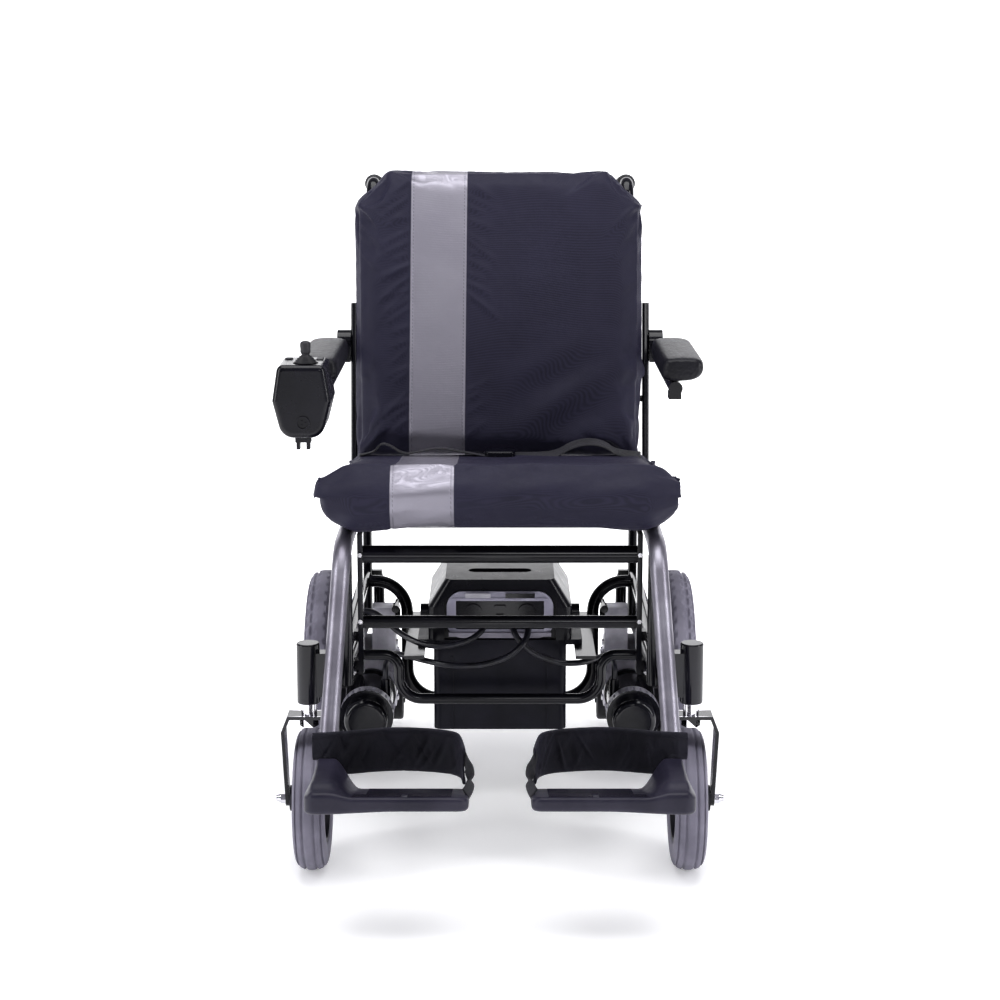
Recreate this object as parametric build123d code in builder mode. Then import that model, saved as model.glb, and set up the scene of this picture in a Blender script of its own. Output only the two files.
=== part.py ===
from build123d import *
import os
from math import cos, radians, sin, tan

os.makedirs("parts", exist_ok=True)

# A power wheelchair for one person, in millimetres. +Z is up, the chair faces -Y and
# +X is the sitter's left. The origin is on the floor under the middle of the chair.
SIDES = (("left", 1), ("right", -1))

# ---------------------------------------------------------------- driving dimensions
wheelbase = 448
drive_axle_y = 250
drive_tyre_radius = 160
drive_tyre_width = 57
drive_wheel_x = 278
caster_radius = 100
caster_width = 50
caster_x = 263
caster_trail = 40

tube_diameter = 25.4
tube_wall = 1.6
rail_x = 217
rail_z = 461
hanger_corner_y = -196
hanger_angle = 60
hanger_splay = 0.052
hanger_end_z = 228
hanger_bend = 60

seat_half_width = 243
seat_rear_y = 250
seat_rear_z = 508
seat_roll_radius = 39.5
seat_roll_y = -160
seat_roll_z = 528.5
back_lean = 10.7
back_pivot_y = 346
back_pivot_z = 585
back_half_width = 229
back_thickness = 55
back_bottom_z = 500
back_top_z = 939

arm_pivot_z = 676
arm_tube_x = 253
arm_tube_z = 655
arm_tube_diameter = 20
arm_pad_x = 263
arm_pad_width = 61
arm_pad_height = 38
arm_pad_front_y = -30
arm_pad_length = 255

battery_half_width = 100
battery_front_y = 50
battery_length = 205
battery_bottom_z = 123
battery_split_z = 263
battery_top_z = 356

running_gap = 0.05
seat_gap = 0.3
soft_gap = 0.5

# Sizes that follow from the ones above.
caster_axle_y = drive_axle_y - wheelbase
stem_y = caster_axle_y - caster_trail
rail_top_z = rail_z + tube_diameter / 2
hanger_bore = tube_diameter - 2 * tube_wall
back_up = Vector(0, sin(radians(back_lean)), cos(radians(back_lean)))
back_out = Vector(0, -cos(radians(back_lean)), sin(radians(back_lean)))
arm_pivot_y = back_pivot_y + (arm_pivot_z - back_pivot_z) * tan(radians(back_lean))


# ------------------------------------------------------------------- shared functions
def save(builder, name):
    """Label a finished piece and write it as its own file."""
    builder.part.label = name
    export_step(builder.part, f"parts/{name}.step")


def bar(start, end, diameter):
    """A straight round bar between two points."""
    run = Vector(*end) - Vector(*start)
    with BuildPart() as rod:
        with BuildSketch(Plane(origin=start, z_dir=run)):
            Circle(diameter / 2)
        extrude(amount=run.length)
    return rod.part


def bent_bar(points, radii, diameter):
    """A round bar along straight runs joined by tangent arcs."""
    with BuildPart() as rod:
        with BuildLine() as centre_line:
            FilletPolyline(*points, radius=radii)
        path = centre_line.line
        with BuildSketch(Plane(origin=path @ 0, z_dir=path % 0)):
            Circle(diameter / 2)
        sweep(path=path)
    return rod.part


def mirrored_hoop(half_points, radii):
    """Points and radii of a hoop whose second half mirrors the first across x = 0."""
    other_half = [(-x, y, z) for x, y, z in reversed(half_points)]
    return half_points + other_half, radii + radii[::-1]


def hanger_point(side, height):
    """The centre of the sloping front tube at a height above the floor."""
    drop = rail_z - height
    forward = drop / tan(radians(hanger_angle))
    return (side * (rail_x + hanger_splay * drop), hanger_corner_y - forward, height)


def back_point(x, along, outward):
    """A point on the leaning back, measured from its hinge axis."""
    place = Vector(x, back_pivot_y, back_pivot_z) + back_up * along + back_out * outward
    return (place.X, place.Y, place.Z)


def back_along(height):
    """Distance along the leaning back from its hinge to a height on the cane line."""
    return (height - back_pivot_z) / cos(radians(back_lean))


def draw_wheel_section(section, x, axle_y, inner_radius, outer_radius, width, corner):
    """Draw a wheel's ring section in a sketch through the axle, round at its outer corners."""
    with Locations((x, axle_y + (inner_radius + outer_radius) / 2)):
        Rectangle(width, outer_radius - inner_radius)
    fillet(section.vertices().group_by(Axis.Y)[-1], corner)


def cord_radii(points):
    """Arc radii of a cord: as large as the two runs at each corner allow."""
    radii = []
    for before, corner, after in zip(points, points[1:], points[2:]):
        first = Vector(*corner) - Vector(*before)
        second = Vector(*after) - Vector(*corner)
        half_turn = radians(first.get_angle(second) / 2)
        radii.append(0.45 * min(first.length, second.length) / tan(half_turn))
    return radii


# ------------------------------------------------------ bright front tubes, seat rails
rail_rear_y = 288.7

for side_name, side in SIDES:
    tube_line = [
        (side * rail_x, rail_rear_y, rail_z),
        (side * rail_x, hanger_corner_y, rail_z),
        hanger_point(side, hanger_end_z),
    ]
    outside = bent_bar(tube_line, [hanger_bend], tube_diameter)
    bore = bent_bar(tube_line, [hanger_bend], hanger_bore)
    with BuildPart() as front_tube:
        add(outside)
        add(bore, mode=Mode.SUBTRACT)
    save(front_tube, f"front_tube_{side_name}")

# --------------------------------------------------------------- black side frames
frame_tube = 22
brace_tube = 19
front_post_y = -170
front_post_top_z = 444
front_post_foot_z = 258
rear_post_y = 300
mid_rail_z = 306
brace_front_z = 270
brace_rear_z = 232
mid_post_y = -80
mid_post_x = 200
mid_post_thickness = 7.5
mid_post_depth = 26
mid_post_foot_z = 250
axle_plate_x = 222
axle_plate_thickness = 6
upright_x = 233.5
upright_thickness = 11
upright_depth = 28
upright_foot_z = 432
upright_top_z = 735
back_pin_diameter = 10
cane_x = 204
cane_diameter = 22
arm_pin_diameter = 12
arm_pin_end_x = 259

for side_name, side in SIDES:
    frame_x = side * rail_x
    front_post = bar((frame_x, front_post_y, front_post_foot_z),
                     (frame_x, front_post_y, front_post_top_z), frame_tube)
    rear_post = bar((frame_x, rear_post_y, brace_rear_z - brace_tube / 2),
                    (frame_x, rear_post_y, rail_z), frame_tube)
    mid_rail = bar((frame_x, front_post_y, mid_rail_z), (frame_x, rear_post_y, mid_rail_z), brace_tube)
    brace = bar((frame_x, front_post_y, brace_front_z), (frame_x, rear_post_y, brace_rear_z), brace_tube)
    back_pin = bar((side * upright_x, back_pivot_y, back_pivot_z),
                   (side * (cane_x - cane_diameter / 2 - 4), back_pivot_y, back_pivot_z), back_pin_diameter)
    arm_pin = bar((side * upright_x, arm_pivot_y, arm_pivot_z),
                  (side * arm_pin_end_x, arm_pivot_y, arm_pivot_z), arm_pin_diameter)
    with BuildPart() as side_frame:
        add(front_post)
        add(rear_post)
        add(mid_rail)
        add(brace)
        # Flat middle post that takes both front crossbars, with lugs to the two rails.
        mid_post_top_z = rail_z - 4
        with Locations((side * mid_post_x, mid_post_y, (mid_post_foot_z + mid_post_top_z) / 2)):
            Box(mid_post_thickness, mid_post_depth, mid_post_top_z - mid_post_foot_z)
        brace_slope = (brace_rear_z - brace_front_z) / (rear_post_y - front_post_y)
        brace_z = brace_front_z + (mid_post_y - front_post_y) * brace_slope
        with Locations((side * 207, mid_post_y, mid_rail_z), (side * 207, mid_post_y, brace_z)):
            Box(10, 18, 14)
        # Axle plate hanging from the rear brace, bored for the wheel's shaft.
        plate_plane = Plane.YZ.offset(side * (axle_plate_x + axle_plate_thickness / 2))
        with BuildSketch(plate_plane) as plate_face:
            with BuildLine():
                Polyline(
                    (drive_axle_y - 62, brace_rear_z + 12),
                    (drive_axle_y + 62, brace_rear_z + 4),
                    (drive_axle_y + 34, drive_tyre_radius - 18),
                    (drive_axle_y + 16, drive_tyre_radius - 36),
                    (drive_axle_y - 16, drive_tyre_radius - 36),
                    (drive_axle_y - 34, drive_tyre_radius - 18),
                    close=True,
                )
            make_face()
            with Locations((drive_axle_y, drive_tyre_radius)):
                Circle(14, mode=Mode.SUBTRACT)
        extrude(amount=axle_plate_thickness / 2, both=True)
        # Leaning flat upright outside the back: it carries the back hinge and the armrest.
        upright_plane = Plane(
            origin=(side * upright_x, back_pivot_y, back_pivot_z), x_dir=(1, 0, 0), z_dir=back_up)
        foot = back_along(upright_foot_z)
        head = back_along(upright_top_z)
        with BuildSketch(upright_plane.offset(foot)):
            RectangleRounded(upright_thickness, upright_depth, 4)
        extrude(amount=head - foot)
        # Bracket between the rear post and the upright.
        with Locations((side * 227.5, rear_post_y + 14, rail_z - 10)):
            Box(8, 44, 30)
        add(back_pin)
        add(arm_pin)
    save(side_frame, f"side_frame_{side_name}")

# ------------------------------------------------------------------------ crossbars
upper_bar_z = 425
lower_bar_z = 325
lower_bar_diameter = 18.5
rear_bar_z = 415
front_bar_half = mid_post_x - mid_post_thickness / 2 - seat_gap
rear_bar_half = rail_x - frame_tube / 2 - seat_gap

crossbars = (
    ("upper_crossbar", front_bar_half, mid_post_y, upper_bar_z, tube_diameter),
    ("lower_crossbar", front_bar_half, mid_post_y, lower_bar_z, lower_bar_diameter),
    ("rear_crossbar", rear_bar_half, rear_post_y, rear_bar_z, frame_tube),
)
for bar_name, half, bar_y, bar_z, diameter in crossbars:
    with BuildPart() as crossbar:
        with BuildSketch(Plane.YZ):
            with Locations((bar_y, bar_z)):
                Circle(diameter / 2)
                Circle(diameter / 2 - tube_wall, mode=Mode.SUBTRACT)
        extrude(amount=half, both=True)
    save(crossbar, bar_name)

# ------------------------------------------------------------------- battery cradle
front_hoop_tube = 15.5
front_hoop_y = 0
front_hoop_x = 150
front_hoop_z = 186
front_hoop_top_z = 254
rear_hoop_tube = 19
rear_hoop_x = 148
rear_hoop_z = battery_bottom_z - seat_gap - rear_hoop_tube / 2
hoop_end_x = rail_x - brace_tube / 2 - seat_gap
ledge_top_z = 254
ledge_thickness = 5
ledge_inner_x = 112
ledge_outer_x = front_hoop_x - front_hoop_tube / 2 - seat_gap

front_half = [
    (hoop_end_x, front_hoop_y, front_hoop_top_z),
    (front_hoop_x, front_hoop_y, front_hoop_top_z),
    (front_hoop_x, front_hoop_y, front_hoop_z),
]
hoop_line, hoop_radii = mirrored_hoop(front_half, [22, 34])
front_hoop_shape = bent_bar(hoop_line, hoop_radii, front_hoop_tube)
with BuildPart() as cradle_front_hoop:
    add(front_hoop_shape)
save(cradle_front_hoop, "cradle_front_hoop")

rear_half = [
    (hoop_end_x, drive_axle_y, mid_rail_z),
    (rear_hoop_x, drive_axle_y, mid_rail_z),
    (rear_hoop_x, drive_axle_y, rear_hoop_z),
]
hoop_line, hoop_radii = mirrored_hoop(rear_half, [50, 50])
rear_hoop_shape = bent_bar(hoop_line, hoop_radii, rear_hoop_tube)
with BuildPart() as cradle_rear_hoop:
    add(rear_hoop_shape)
    # Flat ledges on each side, which the battery case's flange rests on.
    ledge_middle_x = (ledge_inner_x + ledge_outer_x) / 2
    for side_name, side in SIDES:
        with Locations((side * ledge_middle_x, (front_hoop_y + drive_axle_y) / 2,
                        ledge_top_z - ledge_thickness / 2)):
            Box(ledge_outer_x - ledge_inner_x, drive_axle_y - front_hoop_y + 16, ledge_thickness)
save(cradle_rear_hoop, "cradle_rear_hoop")

# ------------------------------------------------------------------- caster housings
housing_diameter = 32
housing_foot_z = 252
housing_top_z = 337
stem_diameter = 12
stem_top_z = 328
bracket_inner_x = rail_x + frame_tube / 2 + seat_gap
bracket_thickness = 6
bracket_rear_y = front_post_y + 10
bracket_foot_z = 262
bracket_height = 62

for side_name, side in SIDES:
    with BuildPart() as caster_housing:
        with BuildSketch(Plane.XY.offset(housing_foot_z)):
            with Locations((side * caster_x, stem_y)):
                Circle(housing_diameter / 2)
        extrude(amount=housing_top_z - housing_foot_z)
        fillet(caster_housing.edges().filter_by(GeomType.CIRCLE), 2)
        # Bolted plate from the front post, and the block that joins it to the housing.
        bracket_middle_z = bracket_foot_z + bracket_height / 2
        bracket_length = bracket_rear_y - stem_y + 14
        with Locations((side * (bracket_inner_x + bracket_thickness / 2),
                        bracket_rear_y - bracket_length / 2, bracket_middle_z)):
            Box(bracket_thickness, bracket_length, bracket_height)
        block_width = caster_x - bracket_inner_x
        with Locations((side * (bracket_inner_x + block_width / 2), stem_y, bracket_middle_z)):
            Box(block_width, 22, bracket_height)
        with BuildSketch(Plane.XY.offset(housing_foot_z)):
            with Locations((side * caster_x, stem_y)):
                Circle(stem_diameter / 2 + running_gap)
        extrude(amount=stem_top_z + 1 - housing_foot_z, mode=Mode.SUBTRACT)
    save(caster_housing, f"caster_housing_{side_name}")

# ------------------------------------------------------------------------ caster forks
crown_z = 231
crown_thickness = 5
crown_half_width = 38
crown_length = 32
leg_thickness = 5
leg_width = 22
knee_drop = 18
knee_out = 9
caster_axle_diameter = 8
axle_nut_reach = 14

for side_name, side in SIDES:
    with BuildPart() as caster_fork:
        # Crown and both legs are one bent flat bar, drawn from the front.
        with BuildSketch(Plane.XZ.offset(-(stem_y + crown_length / 2))):
            outer_x = crown_half_width
            with BuildLine():
                Polyline(
                    (side * caster_x - outer_x, crown_z - knee_drop),
                    (side * caster_x - outer_x + knee_out, crown_z + crown_thickness),
                    (side * caster_x + outer_x - knee_out, crown_z + crown_thickness),
                    (side * caster_x + outer_x, crown_z - knee_drop),
                    (side * caster_x + outer_x - leg_thickness, crown_z - knee_drop),
                    (side * caster_x + outer_x - leg_thickness - knee_out + 2, crown_z),
                    (side * caster_x - outer_x + leg_thickness + knee_out - 2, crown_z),
                    (side * caster_x - outer_x + leg_thickness, crown_z - knee_drop),
                    close=True,
                )
            make_face()
        extrude(amount=crown_length)
        # Legs lean back from the crown to the axle and end in a round eye.
        for end in (-1, 1):
            leg_x = side * caster_x + end * (crown_half_width - leg_thickness / 2)
            with BuildSketch(Plane.YZ.offset(leg_x)):
                with BuildLine():
                    Polyline(
                        (stem_y - crown_length / 2, crown_z - knee_drop),
                        (stem_y + crown_length / 2, crown_z - knee_drop),
                        (caster_axle_y + leg_width / 2, caster_radius),
                        (caster_axle_y - leg_width / 2, caster_radius),
                        close=True,
                    )
                make_face()
                with Locations((caster_axle_y, caster_radius)):
                    Circle(leg_width / 2)
            extrude(amount=leg_thickness / 2, both=True)
        # Stem, the bright collar under the housing and the hex nut under the crown.
        with BuildSketch(Plane.XY.offset(crown_z)):
            with Locations((side * caster_x, stem_y)):
                Circle(stem_diameter / 2)
        extrude(amount=stem_top_z - crown_z)
        with BuildSketch(Plane.XY.offset(crown_z + crown_thickness)):
            with Locations((side * caster_x, stem_y)):
                Circle(11)
        extrude(amount=housing_foot_z - seat_gap - crown_z - crown_thickness)
        with BuildSketch(Plane.XY.offset(crown_z)):
            with Locations((side * caster_x, stem_y)):
                RegularPolygon(13, 6)
        extrude(amount=-12)
        # Axle bolt with a domed nut at each end.
        with BuildSketch(Plane.YZ.offset(side * caster_x)):
            with Locations((caster_axle_y, caster_radius)):
                Circle(caster_axle_diameter / 2)
        extrude(amount=crown_half_width + 4, both=True)
        for end in (-1, 1):
            with BuildSketch(Plane.YZ.offset(side * caster_x + end * crown_half_width)):
                with Locations((caster_axle_y, caster_radius)):
                    RegularPolygon(8, 6)
            extrude(amount=end * 7)
            with BuildSketch(Plane.YZ.offset(side * caster_x + end * (crown_half_width + 7))):
                with Locations((caster_axle_y, caster_radius)):
                    Circle(6.5)
            extrude(amount=end * (axle_nut_reach - 7), taper=18)
    save(caster_fork, f"caster_fork_{side_name}")

# ---------------------------------------------------------------------- caster wheels
caster_rim_radius = 62
caster_rim_width = 40
caster_hub_radius = 18
caster_hub_width = 2 * (crown_half_width - leg_thickness - 1)
caster_web = 12
rib_count = 5
rib_groove = 3

for side_name, side in SIDES:
    wheel_x = side * caster_x
    wheel_axis = Axis((0, caster_axle_y, caster_radius), (1, 0, 0))
    with BuildPart() as caster_wheel:
        with BuildSketch(Plane.XY.offset(caster_radius)) as section:
            draw_wheel_section(section, wheel_x, caster_axle_y,
                               caster_rim_radius - 6, caster_rim_radius, caster_rim_width, 1.5)
        revolve(axis=wheel_axis)
        with BuildSketch(Plane.YZ.offset(wheel_x)):
            with Locations((caster_axle_y, caster_radius)):
                Circle(caster_rim_radius - 3)
                Circle(caster_hub_radius - 2, mode=Mode.SUBTRACT)
                with PolarLocations(38, 5, start_angle=18):
                    Circle(11, mode=Mode.SUBTRACT)
        extrude(amount=caster_web / 2, both=True)
        with BuildSketch(Plane.YZ.offset(wheel_x)):
            with Locations((caster_axle_y, caster_radius)):
                Circle(caster_hub_radius)
                Circle(caster_axle_diameter / 2 + running_gap, mode=Mode.SUBTRACT)
        extrude(amount=caster_hub_width / 2, both=True)
    save(caster_wheel, f"caster_wheel_{side_name}")

    with BuildPart() as caster_tyre:
        with BuildSketch(Plane.XY.offset(caster_radius)) as section:
            draw_wheel_section(section, wheel_x, caster_axle_y,
                               caster_rim_radius, caster_radius, caster_width, 16)
            with Locations((wheel_x, caster_axle_y + caster_radius)):
                with GridLocations(caster_width * 0.72 / (rib_count - 1), 1, rib_count, 1):
                    Rectangle(rib_groove * 0.7, rib_groove * 2, mode=Mode.SUBTRACT)
        revolve(axis=wheel_axis)
    save(caster_tyre, f"caster_tyre_{side_name}")

# ------------------------------------------------------------------------ drive wheels
drive_rim_radius = 112
drive_rim_width = 48
drive_hub_radius = 30
drive_shaft_diameter = 16
gearbox_outer_x = axle_plate_x - seat_gap
gearbox_inner_x = 166
drive_hub_inner_x = 236
drive_hub_outer_x = 296
spoke_count = 5

for side_name, side in SIDES:
    wheel_x = side * drive_wheel_x
    wheel_axis = Axis((0, drive_axle_y, drive_tyre_radius), (1, 0, 0))
    with BuildPart() as drive_rim:
        with BuildSketch(Plane.XY.offset(drive_tyre_radius)) as section:
            draw_wheel_section(section, wheel_x, drive_axle_y,
                               drive_rim_radius - 8, drive_rim_radius, drive_rim_width, 2)
        revolve(axis=wheel_axis)
        # Pressed disc with five windows between broad spokes.
        with BuildSketch(Plane.YZ.offset(wheel_x)):
            with Locations((drive_axle_y, drive_tyre_radius)):
                Circle(drive_rim_radius - 4)
                with PolarLocations(67, spoke_count, start_angle=54):
                    Circle(22, mode=Mode.SUBTRACT)
        extrude(amount=7, both=True)
        with BuildSketch(Plane.YZ.offset(side * drive_hub_inner_x)):
            with Locations((drive_axle_y, drive_tyre_radius)):
                Circle(drive_hub_radius)
        extrude(amount=side * (drive_hub_outer_x - drive_hub_inner_x))
        with BuildSketch(Plane.YZ.offset(side * drive_hub_outer_x)):
            with Locations((drive_axle_y, drive_tyre_radius)):
                Circle(22)
        extrude(amount=side * 8, taper=20)
        # The shaft runs inward through the axle plate into the gearbox.
        with BuildSketch(Plane.YZ.offset(side * (gearbox_inner_x + 14))):
            with Locations((drive_axle_y, drive_tyre_radius)):
                Circle(drive_shaft_diameter / 2)
        extrude(amount=side * (drive_hub_inner_x - gearbox_inner_x - 14))
        with BuildSketch(Plane.YZ.offset(side * drive_hub_outer_x)):
            with Locations((drive_axle_y, drive_tyre_radius)):
                with PolarLocations(25.5, 4):
                    Circle(3)
        extrude(amount=side * 3)
    save(drive_rim, f"drive_rim_{side_name}")

    with BuildPart() as drive_tyre:
        with BuildSketch(Plane.XY.offset(drive_tyre_radius)) as section:
            draw_wheel_section(section, wheel_x, drive_axle_y,
                               drive_rim_radius, drive_tyre_radius, drive_tyre_width, 20)
            with Locations((wheel_x, drive_axle_y + drive_tyre_radius)):
                with GridLocations(13, 1, 2, 1):
                    Rectangle(3, 7, mode=Mode.SUBTRACT)
        revolve(axis=wheel_axis)
    save(drive_tyre, f"drive_tyre_{side_name}")

# ------------------------------------------------------------------ motors and gearboxes
motor_x = 203
motor_z = 140
motor_front_y = 30
motor_cap_radius = 33
motor_collar_radius = 41
motor_body_radius = 36
motor_collar_y = 58
motor_body_y = 84
gearbox_front_y = 190
gearbox_radius = 58
gearbox_lug_top_z = 272
lever_hub = 7.5
gland_x = 176
gland_y = 108
gland_foot_z = 158
gland_top_z = 186
gland_diameter = 14

for side_name, side in SIDES:
    with BuildPart() as motor:
        motor_plane = Plane(origin=(side * motor_x, motor_front_y, motor_z), x_dir=(1, 0, 0), z_dir=(0, 1, 0))
        with BuildSketch(motor_plane):
            Circle(motor_cap_radius)
        extrude(amount=motor_collar_y - motor_front_y + 6)
        fillet(motor.edges().filter_by(GeomType.CIRCLE).sort_by(Axis.Y)[0], 9)
        with BuildSketch(motor_plane.offset(motor_body_y - motor_front_y)):
            Circle(motor_body_radius)
        extrude(amount=gearbox_front_y - seat_gap - motor_body_y)
        with BuildSketch(motor_plane.offset(motor_collar_y - motor_front_y)):
            Circle(motor_collar_radius)
        extrude(amount=motor_body_y - motor_collar_y)
        # Cooling slots round the collar.
        with BuildSketch(motor_plane.offset(motor_collar_y - motor_front_y + 5)):
            with PolarLocations(motor_collar_radius, 24):
                Rectangle(5, 4)
        extrude(amount=motor_body_y - motor_collar_y - 10, mode=Mode.SUBTRACT)
        # Rear flange bolted to the gearbox, and the gland for the motor's cable.
        with BuildSketch(motor_plane.offset(gearbox_front_y - seat_gap - 8 - motor_front_y)):
            Circle(motor_body_radius + 3)
        extrude(amount=8)
        with BuildSketch(Plane.XY.offset(gland_foot_z)):
            with Locations((side * gland_x, gland_y)):
                Circle(gland_diameter / 2)
        extrude(amount=gland_top_z - gland_foot_z)
    save(motor, f"motor_{side_name}")

    with BuildPart() as gearbox:
        gear_width = gearbox_outer_x - gearbox_inner_x
        with BuildSketch(Plane.YZ.offset(side * gearbox_inner_x)):
            with Locations((drive_axle_y, drive_tyre_radius)):
                Circle(gearbox_radius)
        extrude(amount=side * gear_width)
        # Throat towards the motor and the lug that holds the freewheel lever.
        throat_plane = Plane.XZ.offset(-(drive_axle_y - 18))
        with BuildSketch(throat_plane):
            with Locations((side * (gearbox_inner_x + gear_width / 2), motor_z)):
                RectangleRounded(gear_width, 2 * motor_body_radius, 12)
        extrude(amount=drive_axle_y - 18 - gearbox_front_y)
        lug_x = side * (gearbox_inner_x + 18)
        with Locations((lug_x, drive_axle_y - 22, (gearbox_lug_top_z + drive_tyre_radius) / 2)):
            Box(36, 34, gearbox_lug_top_z - drive_tyre_radius)
        # Round inspection cover on the inner face.
        with BuildSketch(Plane.YZ.offset(side * gearbox_inner_x)):
            with Locations((drive_axle_y, drive_tyre_radius)):
                Circle(34)
        extrude(amount=-side * 5)
        with BuildSketch(Plane.YZ.offset(side * (gearbox_inner_x + 13))):
            with Locations((drive_axle_y, drive_tyre_radius)):
                Circle(drive_shaft_diameter / 2 + running_gap)
        extrude(amount=side * gear_width, mode=Mode.SUBTRACT)
    save(gearbox, f"gearbox_{side_name}")

    # Freewheel lever: a hub on the lug's inner face and a cranked rod with a knob.
    lever_y = drive_axle_y - 24
    lever_z = gearbox_lug_top_z - 14
    lever_x = gearbox_inner_x - seat_gap
    lever_middle_x = side * (lever_x - lever_hub / 2)
    rod = bent_bar([
        (lever_middle_x, lever_y, lever_z),
        (lever_middle_x, lever_y - 12, lever_z + 26),
        (lever_middle_x, lever_y - 52, lever_z + 26)], [8], 6)
    with BuildPart() as freewheel_lever:
        with BuildSketch(Plane.YZ.offset(side * lever_x)):
            with Locations((lever_y, lever_z)):
                Circle(9)
        extrude(amount=-side * lever_hub)
        add(rod)
        with BuildSketch(Plane.XZ.offset(-(lever_y - 50))):
            with Locations((lever_middle_x, lever_z + 26)):
                Circle(6)
        extrude(amount=22)
    save(freewheel_lever, f"freewheel_lever_{side_name}")

# -------------------------------------------------------------------------- battery
case_wall = 4
flange_half_width = 124
flange_thickness = 8
battery_middle_y = battery_front_y + battery_length / 2
cell_width = 87
cell_height = 130
cell_gap = 1.5

with BuildPart() as battery_case:
    with BuildSketch(Plane.XY.offset(battery_bottom_z)):
        with Locations((0, battery_middle_y)):
            RectangleRounded(2 * battery_half_width, battery_length, 12)
    extrude(amount=battery_split_z - battery_bottom_z)
    # Upright ribs on the front, a foot groove and the flange that rests on the ledges.
    rib_height = battery_split_z - battery_bottom_z - 30
    with Locations((0, battery_front_y, battery_bottom_z + rib_height / 2 + 4)):
        with GridLocations(72, 1, 3, 1):
            Box(3, 4, rib_height)
    with BuildSketch(Plane.XY.offset(ledge_top_z + seat_gap)):
        with Locations((0, battery_middle_y)):
            RectangleRounded(2 * flange_half_width, battery_length - 10, 8)
    extrude(amount=flange_thickness)
    with BuildSketch(Plane.XY.offset(battery_bottom_z + case_wall)):
        with Locations((0, battery_middle_y)):
            RectangleRounded(2 * (battery_half_width - case_wall), battery_length - 2 * case_wall, 8)
    extrude(amount=battery_split_z, mode=Mode.SUBTRACT)
save(battery_case, "battery_case")

with BuildPart() as battery_cells:
    for side_name, side in SIDES:
        with Locations((side * (cell_width / 2 + cell_gap), battery_middle_y,
                        battery_bottom_z + case_wall + seat_gap + cell_height / 2)):
            Box(cell_width, battery_length - 2 * case_wall - 6, cell_height)
save(battery_cells, "battery_cells")

lid_bottom_z = battery_split_z + seat_gap
lid_shoulder_z = 314
lid_overhang = 4
lid_half_width = battery_half_width + 8
lid_recess = 9
panel_half_width = 80
panel_foot_z = 266
panel_top_z = 338

with BuildPart() as battery_lid:
    with BuildSketch(Plane.XY.offset(lid_bottom_z)):
        with Locations((0, battery_middle_y)):
            RectangleRounded(2 * lid_half_width, battery_length + 2 * lid_overhang, 14)
    extrude(amount=lid_shoulder_z - lid_bottom_z)
    with BuildSketch(Plane.XY.offset(lid_shoulder_z)):
        with Locations((0, battery_middle_y)):
            RectangleRounded(2 * lid_half_width, battery_length + 2 * lid_overhang, 14)
    with BuildSketch(Plane.XY.offset(battery_top_z)):
        with Locations((0, battery_middle_y - 2)):
            RectangleRounded(2 * lid_half_width - 52, battery_length - 6, 14)
    loft()
    # Arched recess in the front for the socket panel.
    with BuildSketch(Plane.XZ.offset(-(battery_front_y - lid_overhang + lid_recess))):
        with BuildLine():
            Polyline(
                (-panel_half_width - 4, lid_bottom_z - 1),
                (-panel_half_width - 4, panel_top_z - 16),
                (-panel_half_width + 14, panel_top_z + 2),
                (panel_half_width - 14, panel_top_z + 2),
                (panel_half_width + 4, panel_top_z - 16),
                (panel_half_width + 4, lid_bottom_z - 1),
                close=True,
            )
        make_face()
    extrude(amount=40, mode=Mode.SUBTRACT)
    # Curved grip slot in the top, open at both ends for the fingers.
    with BuildSketch(Plane.XY.offset(battery_top_z)):
        with Locations((0, battery_middle_y - 40)):
            SlotOverall(96, 24)
    extrude(amount=-16, mode=Mode.SUBTRACT)
    # Hollow underside over the cells.
    with BuildSketch(Plane.XY.offset(lid_bottom_z)):
        with Locations((0, battery_middle_y + 8)):
            RectangleRounded(2 * (battery_half_width - 10), battery_length - 36, 8)
    extrude(amount=lid_shoulder_z - lid_bottom_z, mode=Mode.SUBTRACT)
    # Side latch pods.
    for side_name, side in SIDES:
        with Locations((side * (lid_half_width + 6), battery_front_y + 26, 300)):
            Cylinder(13, 12, rotation=(0, 90, 0))
save(battery_lid, "battery_lid")

socket_x = 40
socket_z = 306
socket_radius = 13
panel_thickness = 5
panel_front_y = battery_front_y - lid_overhang + lid_recess - seat_gap - panel_thickness
plug_z = 287
plug_radius = 5.8

with BuildPart() as socket_panel:
    with BuildSketch(Plane.XZ.offset(-(panel_front_y + panel_thickness))):
        with Locations((0, (panel_foot_z + panel_top_z) / 2)):
            RectangleRounded(2 * panel_half_width, panel_top_z - panel_foot_z, 24)
    extrude(amount=panel_thickness)
    # Raised bright frame round the sockets, with a label strip above it.
    with BuildSketch(Plane.XZ.offset(-panel_front_y)):
        with Locations((0, 302)):
            Rectangle(142, 52)
            Rectangle(132, 44, mode=Mode.SUBTRACT)
    extrude(amount=2.5)
    with BuildSketch(Plane.XZ.offset(-panel_front_y)):
        with Locations((-socket_x, socket_z), (socket_x, socket_z)):
            Circle(socket_radius)
            Circle(socket_radius - 3, mode=Mode.SUBTRACT)
    extrude(amount=4)
    with BuildSketch(Plane.XZ.offset(-panel_front_y)):
        with Locations((0, socket_z + 2)):
            RectangleRounded(18, 18, 3)
            Rectangle(11, 10, mode=Mode.SUBTRACT)
    extrude(amount=4)
    # Two bright rim strips across the lid joint.
    with Locations((0, battery_front_y - lid_overhang - 0.5, 273)):
        Box(2 * panel_half_width - 6, 6, 6)
save(socket_panel, "socket_panel")

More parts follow.
